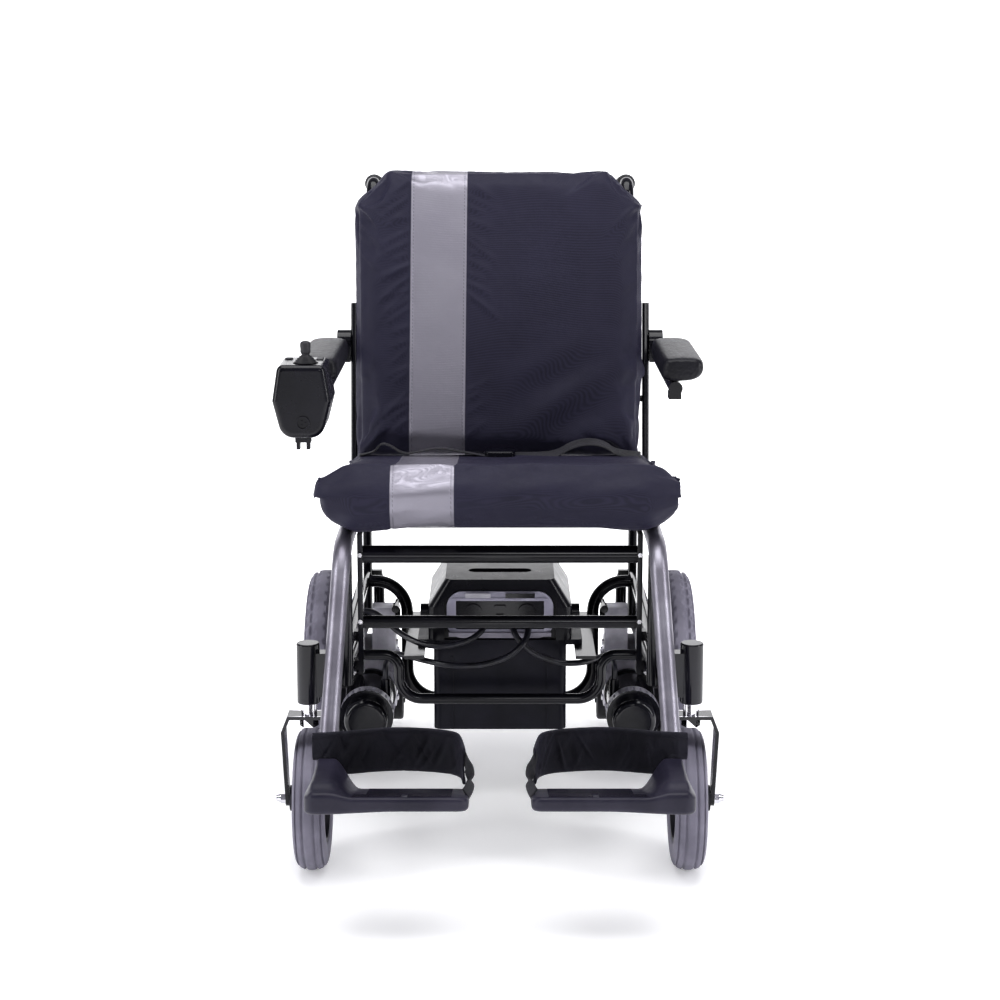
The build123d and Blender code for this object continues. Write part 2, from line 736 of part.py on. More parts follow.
# ------------------------------------------------------------------ motor cables
cable_diameter = 9
plug_length = 20
plug_end_y = panel_front_y - 0.2
plug_front_y = plug_end_y - plug_length
cable_routes = (
    [(20, plug_front_y, plug_z), (20, 13, plug_z), (27, 6, 275), (50, 5, 254), (90, 8, 238),
     (126, 26, 234), (152, 54, 236), (170, 84, 230), (gland_x, gland_y, 208),
     (gland_x, gland_y, gland_top_z)],
    [(42, plug_front_y, plug_z), (42, 13, plug_z), (38, -6, 276), (14, -17, 255), (-26, -17, 242),
     (-70, -6, 238), (-112, 16, 240), (-145, 44, 242), (-167, 78, 234), (-gland_x, gland_y, 208),
     (-gland_x, gland_y, gland_top_z)],
    [(-26, plug_front_y, plug_z), (-26, 14, plug_z), (-42, 4, 276), (-78, 3, 265), (-116, 18, 264),
     (-148, 40, 274), (-172, 54, 292), (-190, 59, 304), (-rail_x + brace_tube / 2 + seat_gap, 60, mid_rail_z)],
)
plug_x_places = (20, 42, -26)

cable_shapes = []
for route in cable_routes:
    radii = cord_radii(route)
    cable_shapes.append(bent_bar(route, radii, cable_diameter))
    print("cable radii", [round(radius, 1) for radius in radii])
with BuildPart() as motor_cables:
    for shape in cable_shapes:
        add(shape)
    for plug_x in plug_x_places:
        with BuildSketch(Plane.XZ.offset(-plug_end_y)):
            with Locations((plug_x, plug_z)):
                Circle(plug_radius)
        extrude(amount=plug_length)
save(motor_cables, "motor_cables")

# ------------------------------------------------------------------------------ seat
board_thickness = 7
board_front_y = -95
board_half_width = rail_x - tube_diameter / 2 - seat_gap
cushion_bottom_z = rail_top_z + seat_gap
roll_top_z = seat_roll_z + seat_roll_radius

with BuildPart() as seat_board:
    with BuildSketch(Plane.XY.offset(rail_top_z - board_thickness)):
        with Locations((0, (board_front_y + seat_rear_y) / 2)):
            RectangleRounded(2 * board_half_width, seat_rear_y - board_front_y, 10)
    extrude(amount=board_thickness)
save(seat_board, "seat_board")

with BuildPart() as seat_cushion:
    with BuildSketch(Plane.YZ):
        with BuildLine():
            Polyline(
                (seat_roll_y, roll_top_z - 1),
                (seat_roll_y + 66, roll_top_z - 18),
                (seat_rear_y - 90, seat_rear_z + 6),
                (seat_rear_y, seat_rear_z),
                (seat_rear_y, cushion_bottom_z),
                (board_front_y, cushion_bottom_z),
                (seat_roll_y, seat_roll_z - seat_roll_radius + 1),
                close=True,
            )
        make_face()
        with Locations((seat_roll_y, seat_roll_z)):
            Circle(seat_roll_radius)
    extrude(amount=seat_half_width, both=True)
save(seat_cushion, "seat_cushion")

belt_thickness = 3
belt_width = 38
belt_y = 214
belt_slope = 6 / 90
belt_z = seat_rear_z + (seat_rear_y - belt_y) * belt_slope + soft_gap

with BuildPart() as lap_belt:
    for side_name, side in SIDES:
        belt_plane = Plane(origin=(0, belt_y, belt_z), x_dir=(1, 0, 0), z_dir=(0, belt_slope, 1))
        with BuildSketch(belt_plane):
            with Locations((side * 122, 0)):
                Rectangle(196, belt_width)
        extrude(amount=belt_thickness)
save(lap_belt, "lap_belt")

with BuildPart() as belt_buckle:
    with BuildSketch(belt_plane):
        RectangleRounded(47, 44, 8)
    extrude(amount=13)
    fillet(belt_buckle.edges().group_by(Axis.Z)[-1], 3)
save(belt_buckle, "belt_buckle")

# ------------------------------------------------------------------------------ back
cane_foot_z = 524
cane_top_z = 925
grip_diameter = 30
grip_rear_y = 505
grip_length = 70
grip_cap = 3
handle_drop = 8
handle_bend = 22
back_brace_z = 640
back_brace_diameter = 16
cushion_rear_out = cane_diameter / 2 + soft_gap
corner_cut = 58

cane_shapes = []
for side_name, side in SIDES:
    cane_line = [
        back_point(side * cane_x, back_along(cane_foot_z), 0),
        back_point(side * cane_x, back_along(cane_top_z), 0),
        (side * cane_x, grip_rear_y - grip_cap, cane_top_z - handle_drop),
    ]
    cane_shapes.append(bent_bar(cane_line, [handle_bend], cane_diameter))
brace_ends = [back_point(side * cane_x, back_along(back_brace_z), 0) for side_name, side in SIDES]
back_brace = bar(brace_ends[0], brace_ends[1], back_brace_diameter)
with BuildPart() as back_frame:
    for shape in cane_shapes:
        add(shape)
    add(back_brace)
    # Through bores for the two hinge pins.
    with BuildSketch(Plane.YZ):
        with Locations((back_pivot_y, back_pivot_z)):
            Circle(back_pin_diameter / 2 + running_gap)
    extrude(amount=cane_x + cane_diameter, both=True, mode=Mode.SUBTRACT)
save(back_frame, "back_frame")

with BuildPart() as push_grips:
    for side_name, side in SIDES:
        handle_start = Vector(*back_point(side * cane_x, back_along(cane_top_z), 0))
        handle_end = Vector(side * cane_x, grip_rear_y - grip_cap, cane_top_z - handle_drop)
        grip_plane = Plane(origin=handle_end, x_dir=(1, 0, 0), z_dir=handle_start - handle_end)
        with BuildSketch(grip_plane.offset(-grip_cap)):
            Circle(grip_diameter / 2)
        extrude(amount=grip_length)
        with BuildSketch(grip_plane):
            Circle(cane_diameter / 2 + running_gap)
        extrude(amount=grip_length, mode=Mode.SUBTRACT)
save(push_grips, "push_grips")

with BuildPart() as back_cushion:
    face_plane = Plane(origin=back_point(0, 0, cushion_rear_out), x_dir=(1, 0, 0), z_dir=back_out)
    foot = back_along(back_bottom_z)
    head = back_along(back_top_z)
    with BuildSketch(face_plane) as back_outline:
        with BuildLine():
            Polyline(
                (-back_half_width + 5, foot),
                (-back_half_width, head - corner_cut),
                (-back_half_width + corner_cut, head),
                (back_half_width - corner_cut, head),
                (back_half_width, head - corner_cut),
                (back_half_width - 5, foot),
                close=True,
            )
        make_face()
        fillet(back_outline.vertices().group_by(Axis.Y)[-1], 26)
    extrude(amount=back_thickness)
    front_edges = back_cushion.faces().sort_by(Axis.Y)[0].edges()
    fillet(front_edges, 14)
save(back_cushion, "back_cushion")

# -------------------------------------------------------------------------- armrests
pad_bottom_z = arm_tube_z + arm_tube_diameter / 2 + seat_gap
arm_tube_front_y = arm_pad_front_y + 12
clamp_y = 12
clamp_length = 30
mount_x = 277
mount_z = 644
mount_diameter = 12
mount_rear_y = 62

for side_name, side in SIDES:
    boss_inner_x = upright_x + upright_thickness / 2 + seat_gap
    tube_shape = bar((side * arm_tube_x, arm_pivot_y - 6, arm_tube_z),
                     (side * arm_tube_x, arm_tube_front_y, arm_tube_z), arm_tube_diameter)
    with BuildPart() as arm_frame:
        add(tube_shape)
        # Pivot plate and boss on the upright's pin.
        with BuildSketch(Plane.YZ.offset(side * boss_inner_x)):
            with Locations((arm_pivot_y, arm_pivot_z)):
                Circle(18)
            with Locations((arm_pivot_y - 9, arm_pivot_z - 18)):
                Rectangle(36, 26)
        extrude(amount=side * (arm_tube_x + 8 - boss_inner_x))
        with BuildSketch(Plane.YZ.offset(side * boss_inner_x)):
            with Locations((arm_pivot_y, arm_pivot_z)):
                Circle(arm_pin_diameter / 2 + running_gap)
        extrude(amount=side * 40, mode=Mode.SUBTRACT)
        if side < 0:
            # Clamp under the front end for the controller's rod.
            with Locations((-(arm_tube_x + 10), clamp_y, arm_tube_z - 4)):
                Box(20, clamp_length, 17)
            with Locations((-mount_x, clamp_y, mount_z)):
                Box(26, clamp_length, 24)
            with BuildSketch(Plane.XZ.offset(-(clamp_y + clamp_length))):
                with Locations((-mount_x, mount_z)):
                    Circle(mount_diameter / 2 + running_gap)
            extrude(amount=2 * clamp_length, mode=Mode.SUBTRACT)
        else:
            # Bare stop block in the same place on the other arm.
            with Locations((arm_tube_x, arm_pad_front_y + 34, arm_tube_z - 12)):
                Box(18, 26, 10)
    save(arm_frame, f"arm_frame_{side_name}")

    with BuildPart() as arm_pad:
        with BuildSketch(Plane.XY.offset(pad_bottom_z)):
            with Locations((side * arm_pad_x, arm_pad_front_y + arm_pad_length / 2)):
                RectangleRounded(arm_pad_width, arm_pad_length, 16)
        extrude(amount=arm_pad_height)
        fillet(arm_pad.edges().group_by(Axis.Z)[-1], 10)
        chamfer(arm_pad.edges().group_by(Axis.Z)[0], 5)
    save(arm_pad, f"arm_pad_{side_name}")

# ------------------------------------------------------------------------- footrests
plate_bottom_z = 166
plate_rear_z = 174
plate_rear_y = -372
plate_front_y = -497
plate_tilt = 13.5
plate_inner_x = 40
plate_outer_x = 246
plate_skin = 4
pivot_x = hanger_point(1, 200)[0]
pivot_z = 196
pivot_pin_diameter = 10
boss_rear_y = -340
boss_front_y = -360
hump_rear_y = -366.5
hump_length = 86
strap_foot_z = 189
strap_height = 59
strap_y = -363.5
boss_radius = 12
strap_thickness = 3

for side_name, side in SIDES:
    leg = bar(hanger_point(side, 290), hanger_point(side, 200), hanger_bore - 2 * running_gap)
    with BuildPart() as footrest_leg:
        add(leg)
        with BuildSketch(Plane.XZ.offset(-boss_rear_y)):
            with Locations((side * pivot_x, pivot_z)):
                Circle(boss_radius)
        extrude(amount=boss_rear_y - boss_front_y)
        with BuildSketch(Plane.XZ.offset(-boss_front_y)):
            with Locations((side * pivot_x, pivot_z)):
                Circle(pivot_pin_diameter / 2)
        extrude(amount=boss_front_y - hump_rear_y + hump_length - 10)
    save(footrest_leg, f"footrest_leg_{side_name}")

    tread = Plane(origin=(0, plate_rear_y, plate_rear_z), x_dir=(1, 0, 0),
                  z_dir=(0, sin(radians(plate_tilt)), cos(radians(plate_tilt))))
    with BuildPart() as plate_core:
        with BuildSketch(Plane.XY.offset(plate_bottom_z - 1)) as core_outline:
            with BuildLine():
                Polyline(
                    (side * (plate_inner_x + 16), plate_rear_y - 6),
                    (side * (plate_outer_x - 60), plate_rear_y - 6),
                    (side * (plate_outer_x - 60), plate_front_y + 6),
                    (side * (plate_inner_x + 6), plate_front_y + 6),
                    close=True,
                )
            make_face()
        extrude(amount=60)
        split(bisect_by=tread.offset(-plate_skin), keep=Keep.BOTTOM)
    with BuildPart() as footplate:
        with BuildSketch(Plane.XY.offset(plate_bottom_z)) as plate_outline:
            with BuildLine():
                Polyline(
                    (side * (plate_inner_x + 12), plate_rear_y),
                    (side * plate_outer_x, plate_rear_y),
                    (side * plate_outer_x, plate_front_y),
                    (side * plate_inner_x, plate_front_y),
                    close=True,
                )
            make_face()
            fillet(plate_outline.vertices(), 14)
        extrude(amount=60)
        split(bisect_by=tread, keep=Keep.BOTTOM)
        add(plate_core.part, mode=Mode.SUBTRACT)
        # Moulded hump over the pivot pin, falling to the tread on its inner side.
        with BuildSketch(Plane.XZ.offset(-hump_rear_y)):
            with BuildLine():
                Polyline(
                    (side * (pivot_x + 8), plate_bottom_z + 4),
                    (side * (pivot_x + 21), pivot_z - 12),
                    (side * (pivot_x + 21), pivot_z + 8),
                    (side * (pivot_x + 9), pivot_z + 20),
                    (side * (pivot_x - 9), pivot_z + 20),
                    (side * (pivot_x - 46), plate_bottom_z + 10),
                    (side * (pivot_x - 46), plate_bottom_z + 4),
                    close=True,
                )
            make_face()
        extrude(amount=hump_length)
        with BuildSketch(Plane.XZ.offset(-hump_rear_y)):
            with Locations((side * pivot_x, pivot_z)):
                Circle(pivot_pin_diameter / 2 + running_gap)
        extrude(amount=hump_length - 9, mode=Mode.SUBTRACT)
    save(footplate, f"footplate_{side_name}")

    with BuildPart() as heel_strap:
        with BuildSketch(Plane.XY.offset(strap_foot_z)):
            with BuildLine():
                FilletPolyline(
                    (side * (pivot_x + 18), strap_y),
                    (side * (pivot_x - 20), strap_y + 1.5),
                    (side * 140, -342),
                    (side * 58, -360),
                    (side * 46, -412),
                    radius=[30, 60, 18],
                )
            trace(line_width=strap_thickness)
        extrude(amount=strap_height)
        # The band's outer end is cut away round the pivot boss.
        notch_top_z = pivot_z + boss_radius + 1.5
        with Locations((side * (pivot_x + 5), strap_y, (strap_foot_z + notch_top_z) / 2)):
            Box(60, 12, notch_top_z - strap_foot_z, mode=Mode.SUBTRACT)
        # Narrow webbing from the band's inner end down to the plate.
        web_foot_z = plate_rear_z + (plate_rear_y + 426) * tan(radians(plate_tilt)) + soft_gap
        with Locations((side * 46, -418, (web_foot_z + strap_foot_z + 20) / 2)):
            Box(strap_thickness, 16, strap_foot_z + 20 - web_foot_z)
    save(heel_strap, f"heel_strap_{side_name}")

# --------------------------------------------------------------------- anti-tip wheels
anti_tip_x = 176
anti_tip_bar_x = 198
anti_tip_y = 463
anti_tip_z = 45
anti_tip_radius = 32
anti_tip_width = 22
anti_tip_axle = 8
anti_tip_tube = 18
anti_tip_foot = 10
anti_tip_top_z = mid_rail_z - 10

anti_tip_shapes = []
for side_name, side in SIDES:
    anti_tip_shapes.append(bent_bar([
        (side * anti_tip_bar_x, rear_post_y + frame_tube / 2 + 2, anti_tip_top_z),
        (side * anti_tip_bar_x, 344, anti_tip_top_z),
        (side * anti_tip_bar_x, 352, 150),
        (side * anti_tip_bar_x, anti_tip_y, anti_tip_z)], [24, 60], anti_tip_tube))
with BuildPart() as anti_tip_bars:
    for shape in anti_tip_shapes:
        add(shape)
    for side_name, side in SIDES:
        # Foot plate bolted to the back of the rear post.
        foot_y = rear_post_y + frame_tube / 2 + seat_gap + anti_tip_foot / 2
        with Locations((side * (anti_tip_bar_x + 8), foot_y, anti_tip_top_z)):
            Box(30, anti_tip_foot, 26)
        with BuildSketch(Plane.YZ.offset(side * anti_tip_bar_x)):
            with Locations((anti_tip_y, anti_tip_z)):
                Circle(anti_tip_tube / 2 + 1)
        extrude(amount=8, both=True)
        with BuildSketch(Plane.YZ.offset(side * anti_tip_bar_x)):
            with Locations((anti_tip_y, anti_tip_z)):
                Circle(anti_tip_axle / 2)
        extrude(amount=-side * (anti_tip_bar_x - anti_tip_x + anti_tip_width / 2 + 3))
save(anti_tip_bars, "anti_tip_bars")

for side_name, side in SIDES:
    with BuildPart() as anti_tip_wheel:
        with BuildSketch(Plane.YZ.offset(side * anti_tip_x)):
            with Locations((anti_tip_y, anti_tip_z)):
                Circle(anti_tip_radius)
        extrude(amount=anti_tip_width / 2, both=True)
        fillet(anti_tip_wheel.edges().filter_by(GeomType.CIRCLE), 5)
        with BuildSketch(Plane.YZ.offset(side * anti_tip_x)):
            with Locations((anti_tip_y, anti_tip_z)):
                Circle(anti_tip_axle / 2 + running_gap)
        extrude(amount=anti_tip_width, both=True, mode=Mode.SUBTRACT)
    save(anti_tip_wheel, f"anti_tip_wheel_{side_name}")

# ------------------------------------------------------------------------ controller
housing_x = -277
housing_rear_y = -36
housing_length = 88
housing_top = 703
housing_foot = 600
housing_half_width = 41
stick_x = -272
stick_y = -97
stick_pivot_z = 697
recess_radius = 18
recess_floor_z = 689
ring_outer = 10.5
ring_inner = 7
gimbal_pin_radius = 1.2
rocker_pin_radius = 1
rocker_pivot_z = 700.5
button_y = -56
button_places = {"power_button": -299, "horn_button": -277}
rocker_x = -255
rocker_half_width = 5
rocker_pin_reach = 2

mount_rod = bar((-mount_x, mount_rear_y, mount_z), (-mount_x, housing_rear_y - 8, mount_z), mount_diameter)
with BuildPart() as controller_mount:
    add(mount_rod)
save(controller_mount, "controller_mount")

with BuildPart() as controller_housing:
    with BuildSketch(Plane.XZ.offset(-housing_rear_y)) as housing_face:
        with BuildLine():
            Polyline(
                (housing_x - 28, housing_foot),
                (housing_x + 28, housing_foot),
                (housing_x + housing_half_width, 652),
                (housing_x + 33, housing_top),
                (housing_x - 33, housing_top),
                (housing_x - housing_half_width, 652),
                close=True,
            )
        make_face()
        fillet(housing_face.vertices().group_by(Axis.Y)[0], 22)
        fillet(housing_face.vertices().group_by(Axis.Y)[-1], 10)
    extrude(amount=housing_length)
    fillet(controller_housing.faces().sort_by(Axis.Y)[0].edges(), 8)
    # Socket for the mounting rod.
    with BuildSketch(Plane.XZ.offset(-housing_rear_y)):
        with Locations((-mount_x, mount_z)):
            Circle(mount_diameter / 2)
    extrude(amount=8, mode=Mode.SUBTRACT)
    # Round recess for the joystick.
    with BuildSketch(Plane.XY.offset(recess_floor_z)):
        with Locations((stick_x, stick_y)):
            Circle(recess_radius)
    extrude(amount=40, mode=Mode.SUBTRACT)
    # Pockets for the buttons and the speed rocker.
    with BuildSketch(Plane.XY.offset(housing_top - 6)):
        with Locations(*[(x, button_y) for x in button_places.values()]):
            Circle(6.3)
        with Locations((rocker_x, button_y)):
            Rectangle(10.6, 20.6)
    extrude(amount=10, mode=Mode.SUBTRACT)
    with BuildSketch(Plane.YZ.offset(rocker_x)):
        with Locations((button_y, rocker_pivot_z)):
            Circle(rocker_pin_radius + running_gap)
    extrude(amount=rocker_half_width + rocker_pin_reach + seat_gap, both=True, mode=Mode.SUBTRACT)
    # Charger socket on the front and the hook below.
    with BuildSketch(Plane.XZ.offset(-(housing_rear_y - housing_length))):
        with Locations((housing_x + 2, 622)):
            Circle(10)
            Circle(7.5, mode=Mode.SUBTRACT)
            with PolarLocations(3.5, 3):
                Circle(1.2)
    extrude(amount=2.5)
    with Locations((housing_x, housing_rear_y - 60, housing_foot - 4)):
        Box(22, 14, 10)
    with Locations((housing_x - 7, housing_rear_y - 60, housing_foot - 13),
                   (housing_x + 7, housing_rear_y - 60, housing_foot - 13)):
        Box(5, 12, 12)
save(controller_housing, "controller_housing")

with BuildPart() as joystick_gimbal:
    with BuildSketch(Plane.XY.offset(stick_pivot_z - 2)):
        with Locations((stick_x, stick_y)):
            Circle(ring_outer)
            Circle(ring_inner, mode=Mode.SUBTRACT)
    extrude(amount=4)
    with BuildSketch(Plane.YZ.offset(stick_x)):
        with Locations((stick_y, stick_pivot_z)):
            Circle(gimbal_pin_radius)
    extrude(amount=recess_radius - seat_gap, both=True)
    with BuildSketch(Plane.XY.offset(stick_pivot_z - 4)):
        with Locations((stick_x, stick_y)):
            Circle(ring_inner)
    extrude(amount=8, mode=Mode.SUBTRACT)
    # Bores for the stick's own pin, across the first pair.
    with BuildSketch(Plane.XZ.offset(-stick_y)):
        with Locations((stick_x, stick_pivot_z)):
            Circle(gimbal_pin_radius + running_gap)
    extrude(amount=ring_outer + 1, both=True, mode=Mode.SUBTRACT)
save(joystick_gimbal, "joystick_gimbal")

with BuildPart() as joystick:
    # Knob, stem and the hollow skirt that covers the recess.
    with BuildSketch(Plane.XZ.offset(-stick_y)):
        with BuildLine():
            Polyline(
                (stick_x, stick_pivot_z - 3),
                (stick_x + 4, stick_pivot_z - 3),
                (stick_x + 4, stick_pivot_z + 9.5),
                (stick_x + 13, stick_pivot_z + 6.2),
                (stick_x + 16, stick_pivot_z + 6.2),
                (stick_x + 13, stick_pivot_z + 10),
                (stick_x + 5, stick_pivot_z + 15),
                (stick_x + 5, stick_pivot_z + 18),
                (stick_x + 7, stick_pivot_z + 21),
                (stick_x + 7, stick_pivot_z + 33),
                (stick_x + 4, stick_pivot_z + 37),
                (stick_x, stick_pivot_z + 37),
                close=True,
            )
        make_face()
    revolve(axis=Axis((stick_x, stick_y, 0), (0, 0, 1)))
    # Ball that sits in the gimbal ring.
    with Locations((stick_x, stick_y, stick_pivot_z)):
        Sphere(ring_inner - seat_gap)
    # Pin that carries the stick in the ring.
    with BuildSketch(Plane.XZ.offset(-stick_y)):
        with Locations((stick_x, stick_pivot_z)):
            Circle(gimbal_pin_radius)
    extrude(amount=ring_outer - seat_gap, both=True)
save(joystick, "joystick")

for button_name, button_x in button_places.items():
    with BuildPart() as button:
        with BuildSketch(Plane.XY.offset(housing_top - 4)):
            with Locations((button_x, button_y)):
                Circle(6)
        extrude(amount=6)
        fillet(button.edges().group_by(Axis.Z)[-1], 1)
    save(button, button_name)

with BuildPart() as speed_rocker:
    with BuildSketch(Plane.XY.offset(housing_top - 3.6)):
        with Locations((rocker_x, button_y)):
            Rectangle(2 * rocker_half_width, 19)
    extrude(amount=5.2)
    chamfer(speed_rocker.edges().group_by(Axis.Z)[-1], 0.8)
    with BuildSketch(Plane.YZ.offset(rocker_x)):
        with Locations((button_y, rocker_pivot_z)):
            Circle(rocker_pin_radius)
    extrude(amount=rocker_half_width + rocker_pin_reach, both=True)
save(speed_rocker, "speed_rocker")

# ------------------------------------------------------------------------- fasteners
bolt_radius = 5.5
bolt_head = 4

with BuildPart() as frame_bolts:
    # Heads on the front of the middle posts, beside each crossbar.
    for side_name, side in SIDES:
        with BuildSketch(Plane.XZ.offset(-(mid_post_y - mid_post_depth / 2 - seat_gap / 3))):
            with Locations((side * mid_post_x, upper_bar_z + 2), (side * mid_post_x, lower_bar_z + 4)):
                RegularPolygon(bolt_radius * 0.65, 6)
        extrude(amount=bolt_head)
        # Pairs on the outside of each caster bracket.
        head_x = bracket_inner_x + bracket_thickness + seat_gap / 3
        for bolt_z in (bracket_foot_z + 12, bracket_foot_z + 50):
            with BuildSketch(Plane.YZ.offset(side * head_x)):
                with Locations((front_post_y - 6, bolt_z)):
                    RegularPolygon(bolt_radius, 6)
            extrude(amount=side * bolt_head)
        # Heads on the inner face of each gearbox, round the inspection cover.
        with BuildSketch(Plane.YZ.offset(side * (gearbox_inner_x - seat_gap / 3))):
            with Locations((drive_axle_y, drive_tyre_radius)):
                with PolarLocations(46, 6, start_angle=30):
                    RegularPolygon(4.5, 6)
        extrude(amount=-side * 3)
save(frame_bolts, "frame_bolts")
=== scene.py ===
# %% [markdown]
# # A power wheelchair, finished in Blender
# The metal, plastic and moving parts come from a CAD model. This lesson adds what
# CAD leaves plain: cloth, tyres, webbing, rubber and the finish of every surface.
# Every length is in metres: +Z is up, the chair faces -Y and +X is the sitter's left.

from math import cos, exp, hypot, pi, radians, sin

import bmesh
import bpy
import numpy as np
from mathutils import Matrix, Vector


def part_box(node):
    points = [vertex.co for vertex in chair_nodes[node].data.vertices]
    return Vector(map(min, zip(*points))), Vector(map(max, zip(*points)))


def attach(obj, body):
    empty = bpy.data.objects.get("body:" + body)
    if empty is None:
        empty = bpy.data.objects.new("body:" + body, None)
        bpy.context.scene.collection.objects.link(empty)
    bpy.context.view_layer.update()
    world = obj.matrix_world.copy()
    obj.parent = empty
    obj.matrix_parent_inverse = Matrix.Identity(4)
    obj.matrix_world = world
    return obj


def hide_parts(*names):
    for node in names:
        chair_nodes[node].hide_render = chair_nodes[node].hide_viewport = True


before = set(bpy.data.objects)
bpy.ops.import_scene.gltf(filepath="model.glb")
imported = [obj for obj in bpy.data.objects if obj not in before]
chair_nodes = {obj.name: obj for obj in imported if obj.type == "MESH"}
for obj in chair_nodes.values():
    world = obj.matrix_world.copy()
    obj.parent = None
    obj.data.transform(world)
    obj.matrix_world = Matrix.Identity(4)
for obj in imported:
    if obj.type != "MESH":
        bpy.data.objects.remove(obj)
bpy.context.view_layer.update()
SIDES = (("left", 1), ("right", -1))

# %% [markdown]
# ## Camera, lights and floor
# A catalogue picture of a chair is taken from seat height with a long lens, under large soft
# lamps on a white floor. The lamps are area lights: one broad sheet overhead, one tall strip
# at each side, which draws the long highlights on the tubes, and weak ones in front and behind.

# %% Camera
CAMERA_DISTANCE, CAMERA_HEIGHT, CAMERA_TILT = 3.110, 1.115, radians(11.4)
camera_data = bpy.data.cameras.new("catalogue_camera")
camera_data.lens = 78.1
camera_data.sensor_width = 36
camera = bpy.data.objects.new("catalogue_camera", camera_data)
camera.location = (0, -CAMERA_DISTANCE, CAMERA_HEIGHT)
camera.rotation_euler = (pi / 2 - CAMERA_TILT, 0, 0)
bpy.context.scene.collection.objects.link(camera)
bpy.context.scene.camera = camera
print("camera height", camera.location.z)


# %% Lamps
def soft_lamp(name, place, target, width, height, power):
    """A rectangular area light aimed at a point."""
    lamp_data = bpy.data.lights.new(name, "AREA")
    lamp_data.shape = "RECTANGLE"
    lamp_data.size = width
    lamp_data.size_y = height
    lamp_data.energy = power
    lamp = bpy.data.objects.new(name, lamp_data)
    lamp.location = place
    lamp.rotation_euler = (Vector(target) - Vector(place)).to_track_quat("-Z", "Y").to_euler()
    bpy.context.scene.collection.objects.link(lamp)


soft_lamp("overhead_sheet", (0, -0.2, 2.7), (0, 0.1, 0.4), 2.4, 2.0, 52)
soft_lamp("strip_left", (2.0, -0.9, 1.2), (0, 0, 0.5), 0.34, 2.0, 20)
soft_lamp("strip_right", (-2.0, -0.9, 1.2), (0, 0, 0.5), 0.34, 2.0, 20)
soft_lamp("front_fill", (0.4, -3.6, 1.9), (0, 0, 0.4), 0.9, 0.9, 11)
soft_lamp("rear_rim", (0, 2.8, 2.6), (0, 0.2, 0.6), 4.0, 1.6, 3)
print("lamps", len(bpy.data.lights))

# %% Floor and room
bpy.context.scene.view_settings.view_transform = "Standard"
bpy.context.scene.view_settings.look = "Medium High Contrast"
room = bpy.data.worlds.new("white_room")
room.use_nodes = True
room.node_tree.nodes["Background"].inputs["Color"].default_value = (0.90, 0.90, 1.0, 1)
room.node_tree.nodes["Background"].inputs["Strength"].default_value = 0.24
bpy.context.scene.world = room

# The floor runs far back and then curves up into a wall, so no horizon shows.
FLOOR_FRONT, FLOOR_REAR, SWEEP_RADIUS, WALL_TOP, FLOOR_HALF_WIDTH = -7.0, 8.0, 3.0, 7.0, 12
sweep_line = [(FLOOR_FRONT, 0.0), (FLOOR_REAR, 0.0)]
for turn in range(6, 91, 6):
    sweep_line.append((FLOOR_REAR + SWEEP_RADIUS * sin(radians(turn)),
                       SWEEP_RADIUS - SWEEP_RADIUS * cos(radians(turn))))
sweep_line.append((FLOOR_REAR + SWEEP_RADIUS, WALL_TOP))
floor_points = [(x, y, z) for y, z in sweep_line for x in (-FLOOR_HALF_WIDTH, FLOOR_HALF_WIDTH)]
floor_faces = [(2 * i, 2 * i + 1, 2 * i + 3, 2 * i + 2) for i in range(len(sweep_line) - 1)]
floor_mesh = bpy.data.meshes.new("studio_floor")
floor_mesh.from_pydata(floor_points, [], floor_faces)
studio_floor = bpy.data.objects.new("studio_floor", floor_mesh)
bpy.context.scene.collection.objects.link(studio_floor)
floor_finish = bpy.data.materials.new("pale_floor")
floor_finish.use_nodes = True
floor_shader = floor_finish.node_tree.nodes["Principled BSDF"]
floor_shader.inputs["Base Color"].default_value = (0.93, 0.93, 0.94, 1)
floor_shader.inputs["Roughness"].default_value = 0.6
floor_shader.inputs["Specular IOR Level"].default_value = 0.2
floor_shader.inputs["Emission Color"].default_value = (1, 1, 1, 1)
# The floor glows faintly far away, so it stays white, and hardly at all under the chair,
# where the lamps alone light it and the wheels' shadows show.
floor_tree = floor_finish.node_tree
floor_place = floor_tree.nodes.new("ShaderNodeTexCoord")
floor_distance = floor_tree.nodes.new("ShaderNodeVectorMath")
floor_distance.operation = "LENGTH"
floor_glow = floor_tree.nodes.new("ShaderNodeMapRange")
floor_glow.interpolation_type = "SMOOTHSTEP"
for key, value in (("From Min", 0.32), ("From Max", 1.15), ("To Min", 0.22), ("To Max", 0.95)):
    floor_glow.inputs[key].default_value = value
floor_tree.links.new(floor_place.outputs["Object"], floor_distance.inputs[0])
floor_tree.links.new(floor_distance.outputs["Value"], floor_glow.inputs["Value"])
floor_tree.links.new(floor_glow.outputs["Result"], floor_shader.inputs["Emission Strength"])
for polygon in floor_mesh.polygons:
    polygon.use_smooth = True
floor_mesh.materials.append(floor_finish)
print("floor", floor_mesh.name)

# %% [markdown]
# ## How a finish is built
# Each finish is one Principled shader fed by a few small node chains: a noise that shifts the
# colour, one that breaks up the gloss, and one that lifts the surface as a bump. All of them
# read object coordinates, which here are metres, so a grain keeps its true size on each part.


